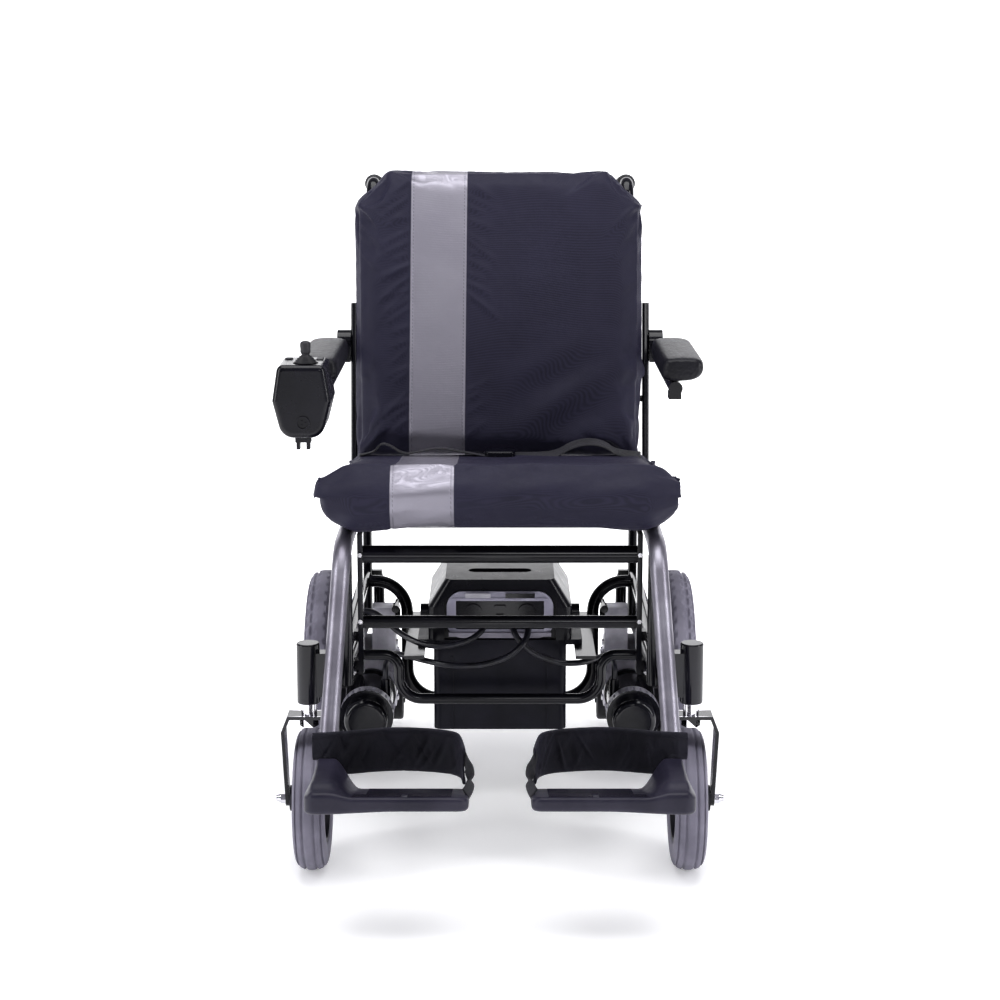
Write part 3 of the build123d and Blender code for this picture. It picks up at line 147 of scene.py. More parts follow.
# %% Finish helpers
class Finish:
    """A material under construction, with short calls for the usual node chains."""

    def __init__(self, name, metallic=0.0, coat=0.0, coat_roughness=0.1, sheen=0.0, specular=0.5):
        self.material = bpy.data.materials.new(name)
        self.material.use_nodes = True
        self.tree = self.material.node_tree
        self.shader = self.tree.nodes["Principled BSDF"]
        self.shader.inputs["Metallic"].default_value = metallic
        self.shader.inputs["Coat Weight"].default_value = coat
        self.shader.inputs["Coat Roughness"].default_value = coat_roughness
        self.shader.inputs["Sheen Weight"].default_value = sheen
        self.shader.inputs["Specular IOR Level"].default_value = specular
        self.place = self.tree.nodes.new("ShaderNodeTexCoord").outputs["Object"]
        self.surface = None

    def node(self, kind, **values):
        made = self.tree.nodes.new(kind)
        for key, value in values.items():
            setattr(made, key, value)
        return made

    def link(self, source, target):
        self.tree.links.new(source, target)

    def noise(self, scale, detail):
        made = self.node("ShaderNodeTexNoise")
        made.inputs["Scale"].default_value = scale
        made.inputs["Detail"].default_value = detail
        self.link(self.place, made.inputs["Vector"])
        return made.outputs["Fac"]

    def cells(self, scale, feature="F1"):
        made = self.node("ShaderNodeTexVoronoi", feature=feature)
        made.inputs["Scale"].default_value = scale
        self.link(self.place, made.inputs["Vector"])
        return made.outputs["Distance"]

    def threads(self, scale, direction):
        made = self.node("ShaderNodeTexWave", bands_direction=direction)
        made.inputs["Scale"].default_value = scale
        self.link(self.place, made.inputs["Vector"])
        return made.outputs["Fac"]

    def spread(self, value, low, high):
        """Map 0..1 to low..high."""
        made = self.node("ShaderNodeMapRange")
        self.link(value, made.inputs["Value"])
        made.inputs["To Min"].default_value = low
        made.inputs["To Max"].default_value = high
        return made.outputs["Result"]

    def step(self, value, low, high):
        """0 below low, 1 above high, smooth between."""
        made = self.node("ShaderNodeMapRange", interpolation_type="SMOOTHSTEP")
        self.link(value, made.inputs["Value"])
        made.inputs["From Min"].default_value = low
        made.inputs["From Max"].default_value = high
        return made.outputs["Result"]

    def sum(self, first, second, operation="ADD"):
        made = self.node("ShaderNodeMath", operation=operation)
        for socket, value in zip(made.inputs, (first, second)):
            if isinstance(value, (int, float)):
                socket.default_value = value
            else:
                self.link(value, socket)
        return made.outputs["Value"]

    def mix(self, share, first, second):
        """Blend two colours, each a triple or a socket."""
        made = self.node("ShaderNodeMix", data_type="RGBA")
        self.link(share, made.inputs["Factor"])
        for socket, value in zip((made.inputs[6], made.inputs[7]), (first, second)):
            if isinstance(value, tuple):
                socket.default_value = (*value, 1)
            else:
                self.link(value, socket)
        return made.outputs[2]

    def colour(self, source):
        self.link(source, self.shader.inputs["Base Color"])

    def roughness(self, source):
        self.link(source, self.shader.inputs["Roughness"])

    def gloss(self, scale, detail, low, high):
        """Roughness broken up by a noise."""
        self.roughness(self.spread(self.noise(scale, detail), low, high))

    def metallic(self, source):
        self.link(source, self.shader.inputs["Metallic"])

    def bump(self, height, distance):
        """Stack a bump on any bump made before."""
        made = self.node("ShaderNodeBump")
        made.inputs["Distance"].default_value = distance
        self.link(height, made.inputs["Height"])
        if self.surface is not None:
            self.link(self.surface, made.inputs["Normal"])
        self.surface = made.outputs["Normal"]
        self.link(self.surface, self.shader.inputs["Normal"])

    def worn(self, dark, light, scale, low=0.3, high=0.7):
        """Colour that moves between two shades with a broad noise."""
        self.colour(self.mix(self.step(self.noise(scale, 4), low, high), dark, light))


def moulded_plastic(name, dark, light, gloss, grain, grain_height, coat=0.0):
    """Injection-moulded plastic: a fine spark-eroded grain and faint handling marks."""
    finish = Finish(name, coat=coat, specular=0.25)
    finish.worn(dark, light, 14, 0.35, 0.75)
    finish.gloss(45, 5, gloss - 0.08, gloss + 0.12)
    finish.bump(finish.cells(grain), grain_height)
    finish.bump(finish.noise(grain * 0.35, 4), grain_height * 0.7)
    return finish.material


print("finish helpers ready")

# %% [markdown]
# ## Metal finishes
# The black frame is stove enamel: deep gloss, a faint orange-peel ripple and a broad drift in
# its tone. The front tubes are satin anodised, with a fine grain along them. The gearboxes
# are raw castings, so they keep the sand's pebbled skin.

# %% Metals
enamel = Finish("black_enamel", coat=0.2, coat_roughness=0.06, specular=0.3)
enamel.worn((0.0035, 0.0035, 0.0060), (0.0085, 0.0080, 0.0140), 7, 0.4, 0.8)
enamel.gloss(40, 4, 0.14, 0.24)
enamel.bump(enamel.noise(260, 2), 0.000025)

satin = Finish("satin_silver", metallic=0.88)
satin_cloud = satin.step(satin.noise(22, 5), 0.3, 0.75)
satin.colour(satin.mix(satin_cloud, (0.20, 0.19, 0.225), (0.31, 0.30, 0.345)))
satin.gloss(160, 6, 0.36, 0.46)
satin.bump(satin.noise(900, 3), 0.00006)

casting = Finish("cast_housing", metallic=0.7)
casting.worn((0.36, 0.35, 0.40), (0.60, 0.59, 0.65), 30)
casting.gloss(90, 6, 0.34, 0.62)
casting.bump(casting.cells(520), 0.00035)
casting.bump(casting.noise(130, 6), 0.0004)

plated = Finish("plated_steel", metallic=1.0)
plated.worn((0.56, 0.55, 0.58), (0.80, 0.79, 0.83), 60)
plated.gloss(220, 5, 0.10, 0.28)
plated.bump(plated.noise(700, 3), 0.00003)

panel_sheet = Finish("socket_panel_sheet", metallic=0.35)
panel_sheet.worn((0.27, 0.26, 0.33), (0.38, 0.37, 0.45), 25)
panel_sheet.gloss(260, 4, 0.30, 0.48)
panel_sheet.bump(panel_sheet.noise(1500, 2), 0.00003)
print("metals ready")

# %% [markdown]
# ## Plastic, rubber and wood finishes
# Motor covers and the controller are smooth and glossy, the battery box and the foot plates
# are grained and duller. The tyres are non-marking lilac-grey rubber that picks up dust.

# %% Plastics, rubbers, wood
motor_gloss = moulded_plastic(
    "motor_gloss", (0.0035, 0.0035, 0.006), (0.009, 0.009, 0.015), 0.2, 900, 0.000008, 0.4)
moulded_plastic(
    "battery_box_plastic", (0.0040, 0.0040, 0.0100), (0.0080, 0.0076, 0.0170), 0.40, 1100, 0.00005)
moulded_plastic(
    "battery_lid_plastic", (0.0030, 0.0030, 0.0065), (0.0070, 0.0066, 0.0120), 0.28, 1300, 0.00002, 0.08)
foot_plastic = moulded_plastic(
    "footplate_plastic", (0.0160, 0.0145, 0.0270), (0.0310, 0.0285, 0.0460), 0.38, 850, 0.00005)
moulded_plastic(
    "controller_plastic", (0.0030, 0.0030, 0.0055), (0.0075, 0.0072, 0.0125), 0.24, 1500, 0.00001, 0.15)
moulded_plastic(
    "wheel_centre_plastic", (0.030, 0.030, 0.036), (0.060, 0.058, 0.070), 0.45, 700, 0.0001)

tyre = Finish("lilac_grey_tyre")
tyre.worn((0.140, 0.133, 0.172), (0.218, 0.208, 0.258), 18, 0.3, 0.75)
tyre.gloss(70, 5, 0.55, 0.82)
tyre.bump(tyre.noise(600, 6), 0.00018)

soft_rubber = Finish("soft_rubber")
soft_rubber.worn((0.007, 0.007, 0.009), (0.020, 0.019, 0.025), 40)
soft_rubber.gloss(110, 4, 0.42, 0.66)
soft_rubber.bump(soft_rubber.cells(1600), 0.00008)

sheath = Finish("cable_sheath", coat=0.2)
sheath.worn((0.005, 0.005, 0.008), (0.016, 0.016, 0.026), 50)
sheath.gloss(140, 4, 0.24, 0.44)
sheath.bump(sheath.noise(900, 3), 0.00004)

stained_ply = Finish("stained_plywood")
veneer_bands = stained_ply.threads(55, "Z")
stained_ply.colour(stained_ply.mix(veneer_bands, (0.008, 0.007, 0.007), (0.018, 0.015, 0.014)))
stained_ply.gloss(60, 5, 0.5, 0.7)
stained_ply.bump(stained_ply.noise(240, 6), 0.0002)
print("plastics, rubbers and wood ready")

# %% [markdown]
# ## Cloth finishes
# The covers are navy nylon with a plain weave and a soft lilac sheen. A reflective strip is
# sewn down one side. The weave is three sets of threads, one along each axis: on any face of
# a cushion two of them cross, so the weave needs no unwrapping.


# %% Cover cloth
STRIP_HALF = 0.0440
BACK_STRIP_MIDDLE, BACK_STRIP_LEAN = -0.1052, -0.0105
SEAT_STRIP_MIDDLE = -0.1075
SEAM_INSET, SEAM_REACH, SEAM_CORE = 0.004, 0.0011, 0.0004


def weave(finish, pitch_scale, depth):
    """Crossing threads from the three axes, as one height."""
    height = finish.sum(finish.threads(pitch_scale, "X"), finish.threads(pitch_scale, "Y"))
    height = finish.sum(height, finish.threads(pitch_scale, "Z"))
    finish.bump(height, depth)
    return height


def cover_cloth(name, strip_middle, strip_lean):
    """Navy nylon with a reflective strip. The lean is its drift across per metre of height."""
    finish = Finish(name, sheen=0.05, specular=0.25)
    finish.shader.inputs["Sheen Roughness"].default_value = 0.42
    finish.shader.inputs["Sheen Tint"].default_value = (0.62, 0.58, 0.85, 1)
    height = weave(finish, 430, 0.00006)
    finish.bump(finish.noise(26, 4), 0.0010)
    cloud = finish.step(finish.noise(11, 5), 0.3, 0.75)
    navy = finish.mix(cloud, (0.0085, 0.0080, 0.0185), (0.0150, 0.0142, 0.0300))
    # The raised threads are painted lighter than the hollows between them: a painted highlight on the
    # weave's crowns, laid over its bump.
    navy = finish.mix(finish.step(height, 0.7, 2.4), navy, (0.022, 0.020, 0.042))
    parts = finish.node("ShaderNodeSeparateXYZ")
    finish.link(finish.place, parts.inputs[0])
    across = finish.sum(parts.outputs["X"], finish.sum(parts.outputs["Z"], strip_lean, "MULTIPLY"))
    away = finish.sum(finish.sum(across, strip_middle, "SUBTRACT"), 0.0, "ABSOLUTE")
    strip = finish.step(away, STRIP_HALF + 0.0006, STRIP_HALF - 0.0006)
    from_seam = finish.sum(finish.sum(away, STRIP_HALF - SEAM_INSET, "SUBTRACT"), 0.0, "ABSOLUTE")
    stitches = finish.sum(finish.step(from_seam, SEAM_REACH, SEAM_CORE),
                          finish.step(finish.threads(95, "DIAGONAL"), 0.25, 0.45), "MULTIPLY")
    silver_cloud = finish.step(finish.noise(9, 3), 0.2, 0.8)
    silver = finish.mix(silver_cloud, (0.255, 0.245, 0.285), (0.29, 0.28, 0.32))
    silver = finish.mix(stitches, silver, (0.19, 0.182, 0.215))
    finish.colour(finish.mix(strip, navy, silver))
    plain = finish.spread(finish.noise(70, 4), 0.50, 0.66)
    bright = finish.spread(finish.noise(50, 4), 0.30, 0.36)
    finish.roughness(finish.sum(finish.sum(plain, finish.sum(1.0, strip, "SUBTRACT"), "MULTIPLY"),
                                finish.sum(bright, strip, "MULTIPLY")))
    finish.metallic(finish.sum(strip, 0.7, "MULTIPLY"))
    return finish.material


back_cloth = cover_cloth("back_cover_cloth", BACK_STRIP_MIDDLE, BACK_STRIP_LEAN)
seat_cloth = cover_cloth("seat_cover_cloth", SEAT_STRIP_MIDDLE, 0.0)

webbing = Finish("black_webbing", sheen=0.06)
webbing.worn((0.006, 0.006, 0.009), (0.017, 0.016, 0.024), 30)
webbing.gloss(160, 4, 0.45, 0.65)
weave(webbing, 420, 0.00015)

band_cloth = Finish("heel_band_cloth", sheen=0.08, specular=0.3)
band_cloth.shader.inputs["Sheen Tint"].default_value = (0.6, 0.58, 0.8, 1)
band_cloth.worn((0.0045, 0.0042, 0.0095), (0.0105, 0.0098, 0.0190), 20)
band_cloth.gloss(90, 4, 0.48, 0.66)
weave(band_cloth, 430, 0.00012)

pad_skin = Finish("grained_arm_pad", coat=0.05, coat_roughness=0.3, specular=0.25)
pad_skin.worn((0.0030, 0.0030, 0.0050), (0.0080, 0.0077, 0.0120), 30, 0.3, 0.75)
pad_skin.gloss(90, 5, 0.32, 0.52)
pad_skin.bump(pad_skin.cells(260, "SMOOTH_F1"), 0.0009)
pad_skin.bump(pad_skin.noise(700, 4), 0.0002)
print("cloths ready")

# %% [markdown]
# ## Finishing the CAD parts
# A CAD part keeps its exact shape. Only its finish is assigned here, by a list of part names.

# %% Assign finishes
finish_of = {
    "satin_silver": ["front_tube_{}"],
    "black_enamel": ["side_frame_{}", "caster_housing_{}", "caster_fork_{}", "freewheel_lever_{}",
                     "arm_frame_{}", "footrest_leg_{}", "upper_crossbar", "lower_crossbar", "rear_crossbar",
                     "cradle_front_hoop", "cradle_rear_hoop", "back_frame", "anti_tip_bars",
                     "controller_mount"],
    "wheel_centre_plastic": ["caster_wheel_{}", "drive_rim_{}"],
    "lilac_grey_tyre": ["caster_tyre_{}", "drive_tyre_{}"],
    "motor_gloss": ["motor_{}"],
    "cast_housing": ["gearbox_{}"],
    "soft_rubber": ["anti_tip_wheel_{}", "push_grips", "joystick", "power_button", "horn_button",
                    "speed_rocker"],
    "battery_box_plastic": ["battery_case", "battery_cells"],
    "battery_lid_plastic": ["battery_lid", "belt_buckle"],
    "socket_panel_sheet": ["socket_panel"],
    "cable_sheath": ["motor_cables"],
    "stained_plywood": ["seat_board"],
    "footplate_plastic": ["footplate_{}"],
    "controller_plastic": ["controller_housing", "joystick_gimbal"],
    "plated_steel": ["frame_bolts"],
    "black_webbing": ["lap_belt", "heel_strap_{}"],
    "grained_arm_pad": ["arm_pad_{}"],
    "back_cover_cloth": ["back_cushion"],
    "seat_cover_cloth": ["seat_cushion"],
}


def wear(piece, material):
    """Give a piece one finish in place of any it has."""
    piece.data.materials.clear()
    piece.data.materials.append(material)


for finish_name, patterns in finish_of.items():
    for pattern in patterns:
        for node_name in sorted({pattern.format(side) for side, _ in SIDES}):
            wear(chair_nodes[node_name], bpy.data.materials[finish_name])
bare = [name for name, node in chair_nodes.items() if not node.data.materials]
print("CAD parts without a finish", bare)

# %% [markdown]
# Some CAD parts carry two metals or a trim colour: bright nuts on a black fork, a slotted
# alloy collar on a black motor, a bright frame round dark sockets. The shape is left alone
# and only the faces that lie in a named region take the second finish.


# %% Second finishes
def trim(node_name, material, region):
    """Give the faces whose middle is in a region another finish."""
    mesh = chair_nodes[node_name].data
    mesh.materials.append(material)
    slot_number = len(mesh.materials) - 1
    changed = 0
    for polygon in mesh.polygons:
        if region(polygon.center):
            polygon.material_index = slot_number
            changed += 1
    print(node_name, material.name, changed, "faces")


FORK_X, CASTER_AXLE_Y, CASTER_AXLE_Z, STEM_Y = 0.263, -0.198, 0.100, -0.238
DRIVE_AXLE_Y, DRIVE_AXLE_Z = 0.250, 0.160
NUT_RADIUS, STEM_RADIUS, FORK_FACE = 0.0095, 0.0155, 0.0335
PANEL_FRONT, SOCKET_HALF_WIDTH, SOCKET_LOW, SOCKET_HIGH = 0.0447, 0.0655, 0.2805, 0.3235


def axle_nuts(c):
    at_axle = hypot(c.y - CASTER_AXLE_Y, c.z - CASTER_AXLE_Z) < NUT_RADIUS
    return at_axle and abs(abs(c.x) - FORK_X) > FORK_FACE


def stem_fittings(c):
    at_stem = hypot(abs(c.x) - FORK_X, c.y - STEM_Y) < STEM_RADIUS
    return at_stem and (0.200 < c.z < 0.2265 or 0.2300 < c.z < 0.2525)


def drive_hub(c):
    return hypot(c.y - DRIVE_AXLE_Y, c.z - DRIVE_AXLE_Z) < NUT_RADIUS


def in_socket(c):
    return abs(c.x) < SOCKET_HALF_WIDTH and SOCKET_LOW < c.z < SOCKET_HIGH


def panel_bright(c):
    return (c.y < PANEL_FRONT - 0.0006 and not in_socket(c)) or c.z < 0.2765


def panel_dark(c):
    return in_socket(c) and c.y > 0.0385


for side_name, _ in SIDES:
    trim(f"caster_fork_{side_name}", plated.material, axle_nuts)
    trim(f"caster_fork_{side_name}", plated.material, stem_fittings)
    trim(f"motor_{side_name}", casting.material, lambda c: 0.0605 < c.y < 0.0845)
    trim(f"drive_rim_{side_name}", plated.material, drive_hub)
trim("socket_panel", satin.material, panel_bright)
trim("socket_panel", motor_gloss, panel_dark)

# %% [markdown]
# ## Building by rings
# Many of these pieces are one closed outline swept along a line: a tyre's section round its
# axle, webbing along its path, a grip along its tube. One helper joins a list of rings.


# %% Ring helpers
def new_piece(name, points, faces, material, smooth=True):
    """A mesh piece from points and faces, with normals facing out."""
    mesh = bpy.data.meshes.new(name)
    mesh.from_pydata([tuple(point) for point in points], [], faces)
    work = bmesh.new()
    work.from_mesh(mesh)
    bmesh.ops.recalc_face_normals(work, faces=work.faces)
    work.to_mesh(mesh)
    work.free()
    mesh.materials.append(material)
    for polygon in mesh.polygons:
        polygon.use_smooth = smooth
    piece = bpy.data.objects.new(name, mesh)
    bpy.context.scene.collection.objects.link(piece)
    return piece


def join_rings(name, rings, material, closed_loop=False):
    """Skin between rings of equal count. The ends are capped unless the rings form a loop."""
    count = len(rings[0])
    points = [point for ring in rings for point in ring]
    faces = []
    spans = len(rings) if closed_loop else len(rings) - 1
    for i in range(spans):
        here = i * count
        there = ((i + 1) % len(rings)) * count
        for j in range(count):
            k = (j + 1) % count
            faces.append((here + j, here + k, there + k, there + j))
    if not closed_loop:
        faces.append(tuple(range(count))[::-1])
        faces.append(tuple(range(len(points) - count, len(points))))
    return new_piece(name, points, faces, material)


def soften(piece, levels=1):
    """Apply a subdivision surface."""
    modifier = piece.modifiers.new("rounding", "SUBSURF")
    modifier.levels = levels
    modifier.render_levels = levels
    settle(piece)


def settle(piece):
    """Replace a piece's mesh by its modified one."""
    layer = bpy.context.evaluated_depsgraph_get()
    finished = bpy.data.meshes.new_from_object(piece.evaluated_get(layer))
    piece.modifiers.clear()
    piece.data = finished


def smooth_edge(value, low, high):
    """0 below low, 1 above high, smooth between."""
    share = min(max((value - low) / (high - low), 0.0), 1.0)
    return share * share * (3 - 2 * share)


print("ring helpers ready")

# %% [markdown]
# ## Tyres
# A tyre is a section revolved round its axle, so its tread can be cut by lowering the surface
# where a groove runs. The casters have plain running ribs, the drive wheels have blocks.


# %% Tyre maker
def make_tyre(name, cad_node, tread_depth, steps_round, steps_across):
    """Revolve a rounded tyre section. tread_depth(share, turn) gives the cut in metres."""
    low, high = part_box(cad_node)
    centre_x = (low[0] + high[0]) / 2
    axle = ((low[1] + high[1]) / 2, (low[2] + high[2]) / 2)
    outer = (high[2] - low[2]) / 2
    half_width = (high[0] - low[0]) / 2
    seat = outer * (0.62 if outer < 0.12 else 0.7)
    wall = outer - seat
    rings = []
    for i in range(steps_round):
        turn = 2 * pi * i / steps_round
        ring = []
        for j in range(steps_across + 1):
            share = 2 * j / steps_across - 1
            lean = share * pi / 2
            bulge = abs(sin(lean)) ** 0.82 * (1 if share >= 0 else -1)
            rise = max(cos(lean), 0.0) ** 0.55
            radius = seat + 0.004 + (wall - 0.004) * rise - tread_depth(share, turn)
            ring.append((centre_x + half_width * bulge * (0.86 + 0.14 * rise), radius, turn))
        for j in range(5):
            share = 1 - 2 * j / 4
            ring.append((centre_x + half_width * 0.8 * share, seat + 0.0006, turn))
        rings.append([(x, axle[0] + r * sin(t), axle[1] + r * cos(t)) for x, r, t in ring])
    return join_rings(name, rings, bpy.data.materials["lilac_grey_tyre"], closed_loop=True)


def rib_depth(share, turn):
    """Four running grooves between five ribs."""
    position = share * 3.4
    near = abs(position - round(position - 0.5) - 0.5)
    inside = 1 - smooth_edge(abs(share), 0.60, 0.72)
    return 0.0032 * (1 - smooth_edge(near, 0.06, 0.16)) * inside


def block_depth(share, turn):
    """Two running grooves with slanted cross cuts, staggered from side to side."""
    side_shift = 0.5 if share > 0 else 0.0
    wave = (turn * 44 / (2 * pi) + side_shift + abs(share) * 0.9) % 1.0
    across = 1 - smooth_edge(abs(wave - 0.5), 0.10, 0.19)
    running = 1 - smooth_edge(abs(abs(share) - 0.24), 0.035, 0.075)
    outer = 1 - smooth_edge(abs(abs(share) - 0.52), 0.02, 0.05)
    reach = 1 - smooth_edge(abs(share), 0.70, 0.78)
    skip = smooth_edge(abs(share), 0.08, 0.14)
    return 0.0040 * max(across * reach * skip, running, outer * 0.7)


for side_name, _ in SIDES:
    for kind, depth, steps_round, steps_across, body in (
            ("caster", rib_depth, 160, 56, f"caster_roller_{side_name}"),
            ("drive", block_depth, 352, 48, f"drive_wheel_{side_name}")):
        node_name = f"{kind}_tyre_{side_name}"
        tread = make_tyre(f"{kind}_tread_{side_name}", node_name, depth, steps_round, steps_across)
        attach(tread, body)
        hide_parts(node_name)
        print(tread.name, len(tread.data.vertices), "points")

# %% [markdown]
# ## Stuffed covers
# A stuffed cover is a bag blown up by its filling. The CAD block gives the bag's size: it is
# remeshed finely, drawn in a little, then inflated as cloth, which rounds its faces and
# gathers its corners as a sewn bag does. A limit on each point's travel keeps it in place.


# %% Inflate a CAD block
VOXEL, PRESSURE, CLOTH_FRAMES, SMOOTHING_ROUNDS = 0.0055, 3.5, 20, 26


def blown_cover(name, cad_node, material, draw_in, limit, resting, lean=0.0):
    """A cloth bag from a CAD solid. resting(point) is true where it lies on something.

    A leaning block is stood upright first, so that the grid's rows run along its faces."""
    source = chair_nodes[cad_node].data.copy()
    upright = Matrix.Rotation(lean, 4, "X")
    source.transform(upright)
    piece = bpy.data.objects.new(name, source)
    bpy.context.scene.collection.objects.link(piece)
    remesh = piece.modifiers.new("even_grid", "REMESH")
    remesh.mode = "VOXEL"
    remesh.voxel_size = VOXEL
    calm = piece.modifiers.new("calm", "SMOOTH")
    calm.factor = 0.5
    calm.iterations = SMOOTHING_ROUNDS
    settle(piece)
    piece.data.transform(upright.inverted())
    for vertex in piece.data.vertices:
        vertex.co -= vertex.normal * draw_in
    start = [vertex.co.copy() for vertex in piece.data.vertices]
    held = piece.vertex_groups.new(name="held")
    held.add([v.index for v in piece.data.vertices if resting(v.co)], 1.0, "REPLACE")
    cloth = piece.modifiers.new("inflate", "CLOTH")
    cloth.settings.quality = 5
    cloth.settings.mass = 0.2
    cloth.settings.tension_stiffness = 12
    cloth.settings.compression_stiffness = 8
    cloth.settings.bending_stiffness = 0.4
    cloth.settings.shrink_min = -0.004
    cloth.settings.use_pressure = True
    cloth.settings.uniform_pressure_force = PRESSURE
    cloth.settings.vertex_group_mass = "held"
    cloth.settings.effector_weights.gravity = 0
    cloth.collision_settings.use_collision = False
    scene = bpy.context.scene
    scene.frame_start, scene.frame_end = 1, CLOTH_FRAMES
    for number in range(1, CLOTH_FRAMES + 1):
        scene.frame_set(number)
        bpy.context.view_layer.update()
    settle(piece)
    scene.frame_set(1)
    for vertex, first in zip(piece.data.vertices, start):
        travel = vertex.co - first
        if travel.length > limit:
            vertex.co = first + travel * (limit / travel.length)
    wear(piece, material)
    for polygon in piece.data.polygons:
        polygon.use_smooth = True
    return piece


def read_points(piece, what):
    """The places ("co") or outward directions ("normal") of all points, one row each."""
    values = np.empty(len(piece.data.vertices) * 3)
    piece.data.vertices.foreach_get(what, values)
    return values.reshape(-1, 3)


def write_points(piece, places):
    piece.data.vertices.foreach_set("co", places.ravel())
    piece.data.update()


def reshape(piece, rule):
    """Move all points by a rule that takes arrays of places and of outward directions."""
    places = read_points(piece, "co")
    write_points(piece, places + rule(places, read_points(piece, "normal")))


def fit_to_block(piece, cad_node, axes, spare):
    """Stretch a piece along some directions so that it spans its CAD block plus some spare."""
    places = read_points(piece, "co")
    block = read_points(chair_nodes[cad_node], "co")
    for axis, extra in zip(axes, spare):
        axis = np.array(axis)
        along, wanted = places @ axis, block @ axis
        low, high = wanted.min() - extra, wanted.max() + extra
        target = low + (along - along.min()) * (high - low) / (along.max() - along.min())
        places += (target - along)[:, None] * axis
    write_points(piece, places)


def ramp(value, low, high):
    """The same smooth step as before, for arrays."""
    share = np.clip((value - low) / (high - low), 0.0, 1.0)
    return share * share * (3 - 2 * share)


print("cover maker ready")

# %% [markdown]
# ## Back cover
# The back leans, so its seams and folds are placed in its own plane: how far across, and how
# far up the lean. Short folds fan out from the edges of the sewn strip, where the thread
# gathers the nylon, and others run in from the sides.

# %% Back cover
LEAN = radians(10.7)
up_the_back = Vector((0, sin(LEAN), cos(LEAN)))
out_of_back = Vector((0, -cos(LEAN), sin(LEAN)))
hinge = Vector((0, 0.346, 0.585))


def back_rest(point):
    """True on the rear face, which lies on the canes."""
    return (point - hinge).dot(out_of_back) < 0.018


back_cover = blown_cover("back_cover", "back_cushion", back_cloth, 0.005, 0.013, back_rest, LEAN)
soften(back_cover)
fit_to_block(back_cover, "back_cushion", ((1, 0, 0), up_the_back), (0.003, 0.002))

fold_rng = np.random.default_rng(7)


def make_folds(edges, low, high, count, lengths, slopes, lifts):
    """Folds that start at upright edges: (edge, height, direction, length, slope, lift)."""
    folds = []
    for index in range(count):
        for edge, direction in edges:
            height = low + (high - low) * (index + fold_rng.uniform(0.1, 0.9)) / count
            folds.append((edge, height, direction, fold_rng.uniform(*lengths),
                          fold_rng.uniform(*slopes), fold_rng.uniform(*lifts)))
    return folds


STRIP_EDGES = ((-0.142, -1), (-0.054, 1))
SIDE_EDGES = ((-0.232, 1), (0.232, -1))
# Edges, lowest and highest start, count, then the ranges of length, slope and lift.
back_folds = []
for fold_group in (
        (STRIP_EDGES, 0.16, 0.35, 12, (0.04, 0.10), (-0.8, -0.15), (0.0010, 0.0024)),
        (STRIP_EDGES[:1], -0.07, 0.20, 14, (0.04, 0.09), (-1.0, -0.3), (0.0008, 0.0020)),
        (STRIP_EDGES[1:], -0.07, 0.02, 5, (0.03, 0.07), (0.2, 0.8), (0.0006, 0.0014)),
        (SIDE_EDGES, -0.06, 0.33, 9, (0.03, 0.08), (-0.6, 0.6), (0.0008, 0.0018)),
        (SIDE_EDGES, 0.24, 0.33, 4, (0.06, 0.12), (-1.2, -0.5), (0.0012, 0.0026))):
    back_folds += make_folds(*fold_group)


def fold_height(across, up, folds):
    """Sum of narrow folds, each a ridge that starts at an edge and fades along its run."""
    total = np.zeros_like(across)
    for edge, height, direction, length, slope, lift in folds:
        run = (across - edge) * direction
        share = np.clip(run / length, 0, 1)
        offset = up - height - slope * run
        width = 0.0035 + 0.006 * share
        fade = np.sin(pi * np.minimum(share * 1.3 + 0.18, 1.0))
        ridge = lift * np.exp(-(offset / width) ** 2) * fade
        total += np.where((run > 0) & (run < length), ridge, 0.0)
    return total


def back_shape(places, outward):
    local = places - np.array(hinge)
    across = places[:, 0]
    up = local @ np.array(up_the_back)
    out = local @ np.array(out_of_back)
    facing = np.clip(outward @ np.array(out_of_back), 0, 1) * (out > 0.03)
    lift = fold_height(across, up, back_folds)
    strip_middle = BACK_STRIP_MIDDLE - BACK_STRIP_LEAN * places[:, 2]
    strip_edge = np.abs(np.abs(across - strip_middle) - STRIP_HALF)
    lift -= 0.0013 * np.exp(-(strip_edge / 0.0022) ** 2)
    lift += 0.0016 * np.sin(across * 21 + up * 9) * np.sin(up * 13 - across * 5)
    move = (lift * facing)[:, None] * np.array(out_of_back)
    # The lower hem hangs on behind the seat, and the cloth is slack low on the sitter's left.
    hang = 0.014 * ramp(-up, 0.04, 0.085)
    slack = 0.0030 * np.exp(-((across - 0.10) / 0.07) ** 2) * np.sin((up - 0.6 * across) * 75)
    slack *= ramp(-up, -0.11, -0.02)
    move -= hang[:, None] * np.array(up_the_back)
    move += (slack * facing)[:, None] * np.array(out_of_back)
    return move


reshape(back_cover, back_shape)
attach(back_cover, "backrest")
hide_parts("back_cushion")
print("back cover", len(back_cover.data.vertices), "points")

# %% [markdown]
# ## Seat cover
# The seat is a thin pad with a fat roll along its front. The roll's ends are pulled shut, so
# they pucker into ears, and the cloth under it hangs a little lower at the sides.


# %% Seat cover
def seat_rest(point):
    """True on the underside, which lies on the board."""
    return point.z < 0.478 and point.y > -0.10


seat_cover = blown_cover("seat_cover", "seat_cushion", seat_cloth, 0.006, 0.010, seat_rest)
soften(seat_cover)
fit_to_block(seat_cover, "seat_cushion", ((1, 0, 0), (0, 1, 0)), (0.002, 0.0))
roll_middle = Vector((0, -0.160, 0.5285))
roll_rng = np.random.default_rng(11)
ROLL_FOLDS = [(roll_rng.choice((-1, 1)), roll_rng.uniform(0, 2 * pi), roll_rng.uniform(0.03, 0.10),
               roll_rng.uniform(-2.5, 2.5), roll_rng.uniform(0.0006, 0.0016)) for _ in range(22)]


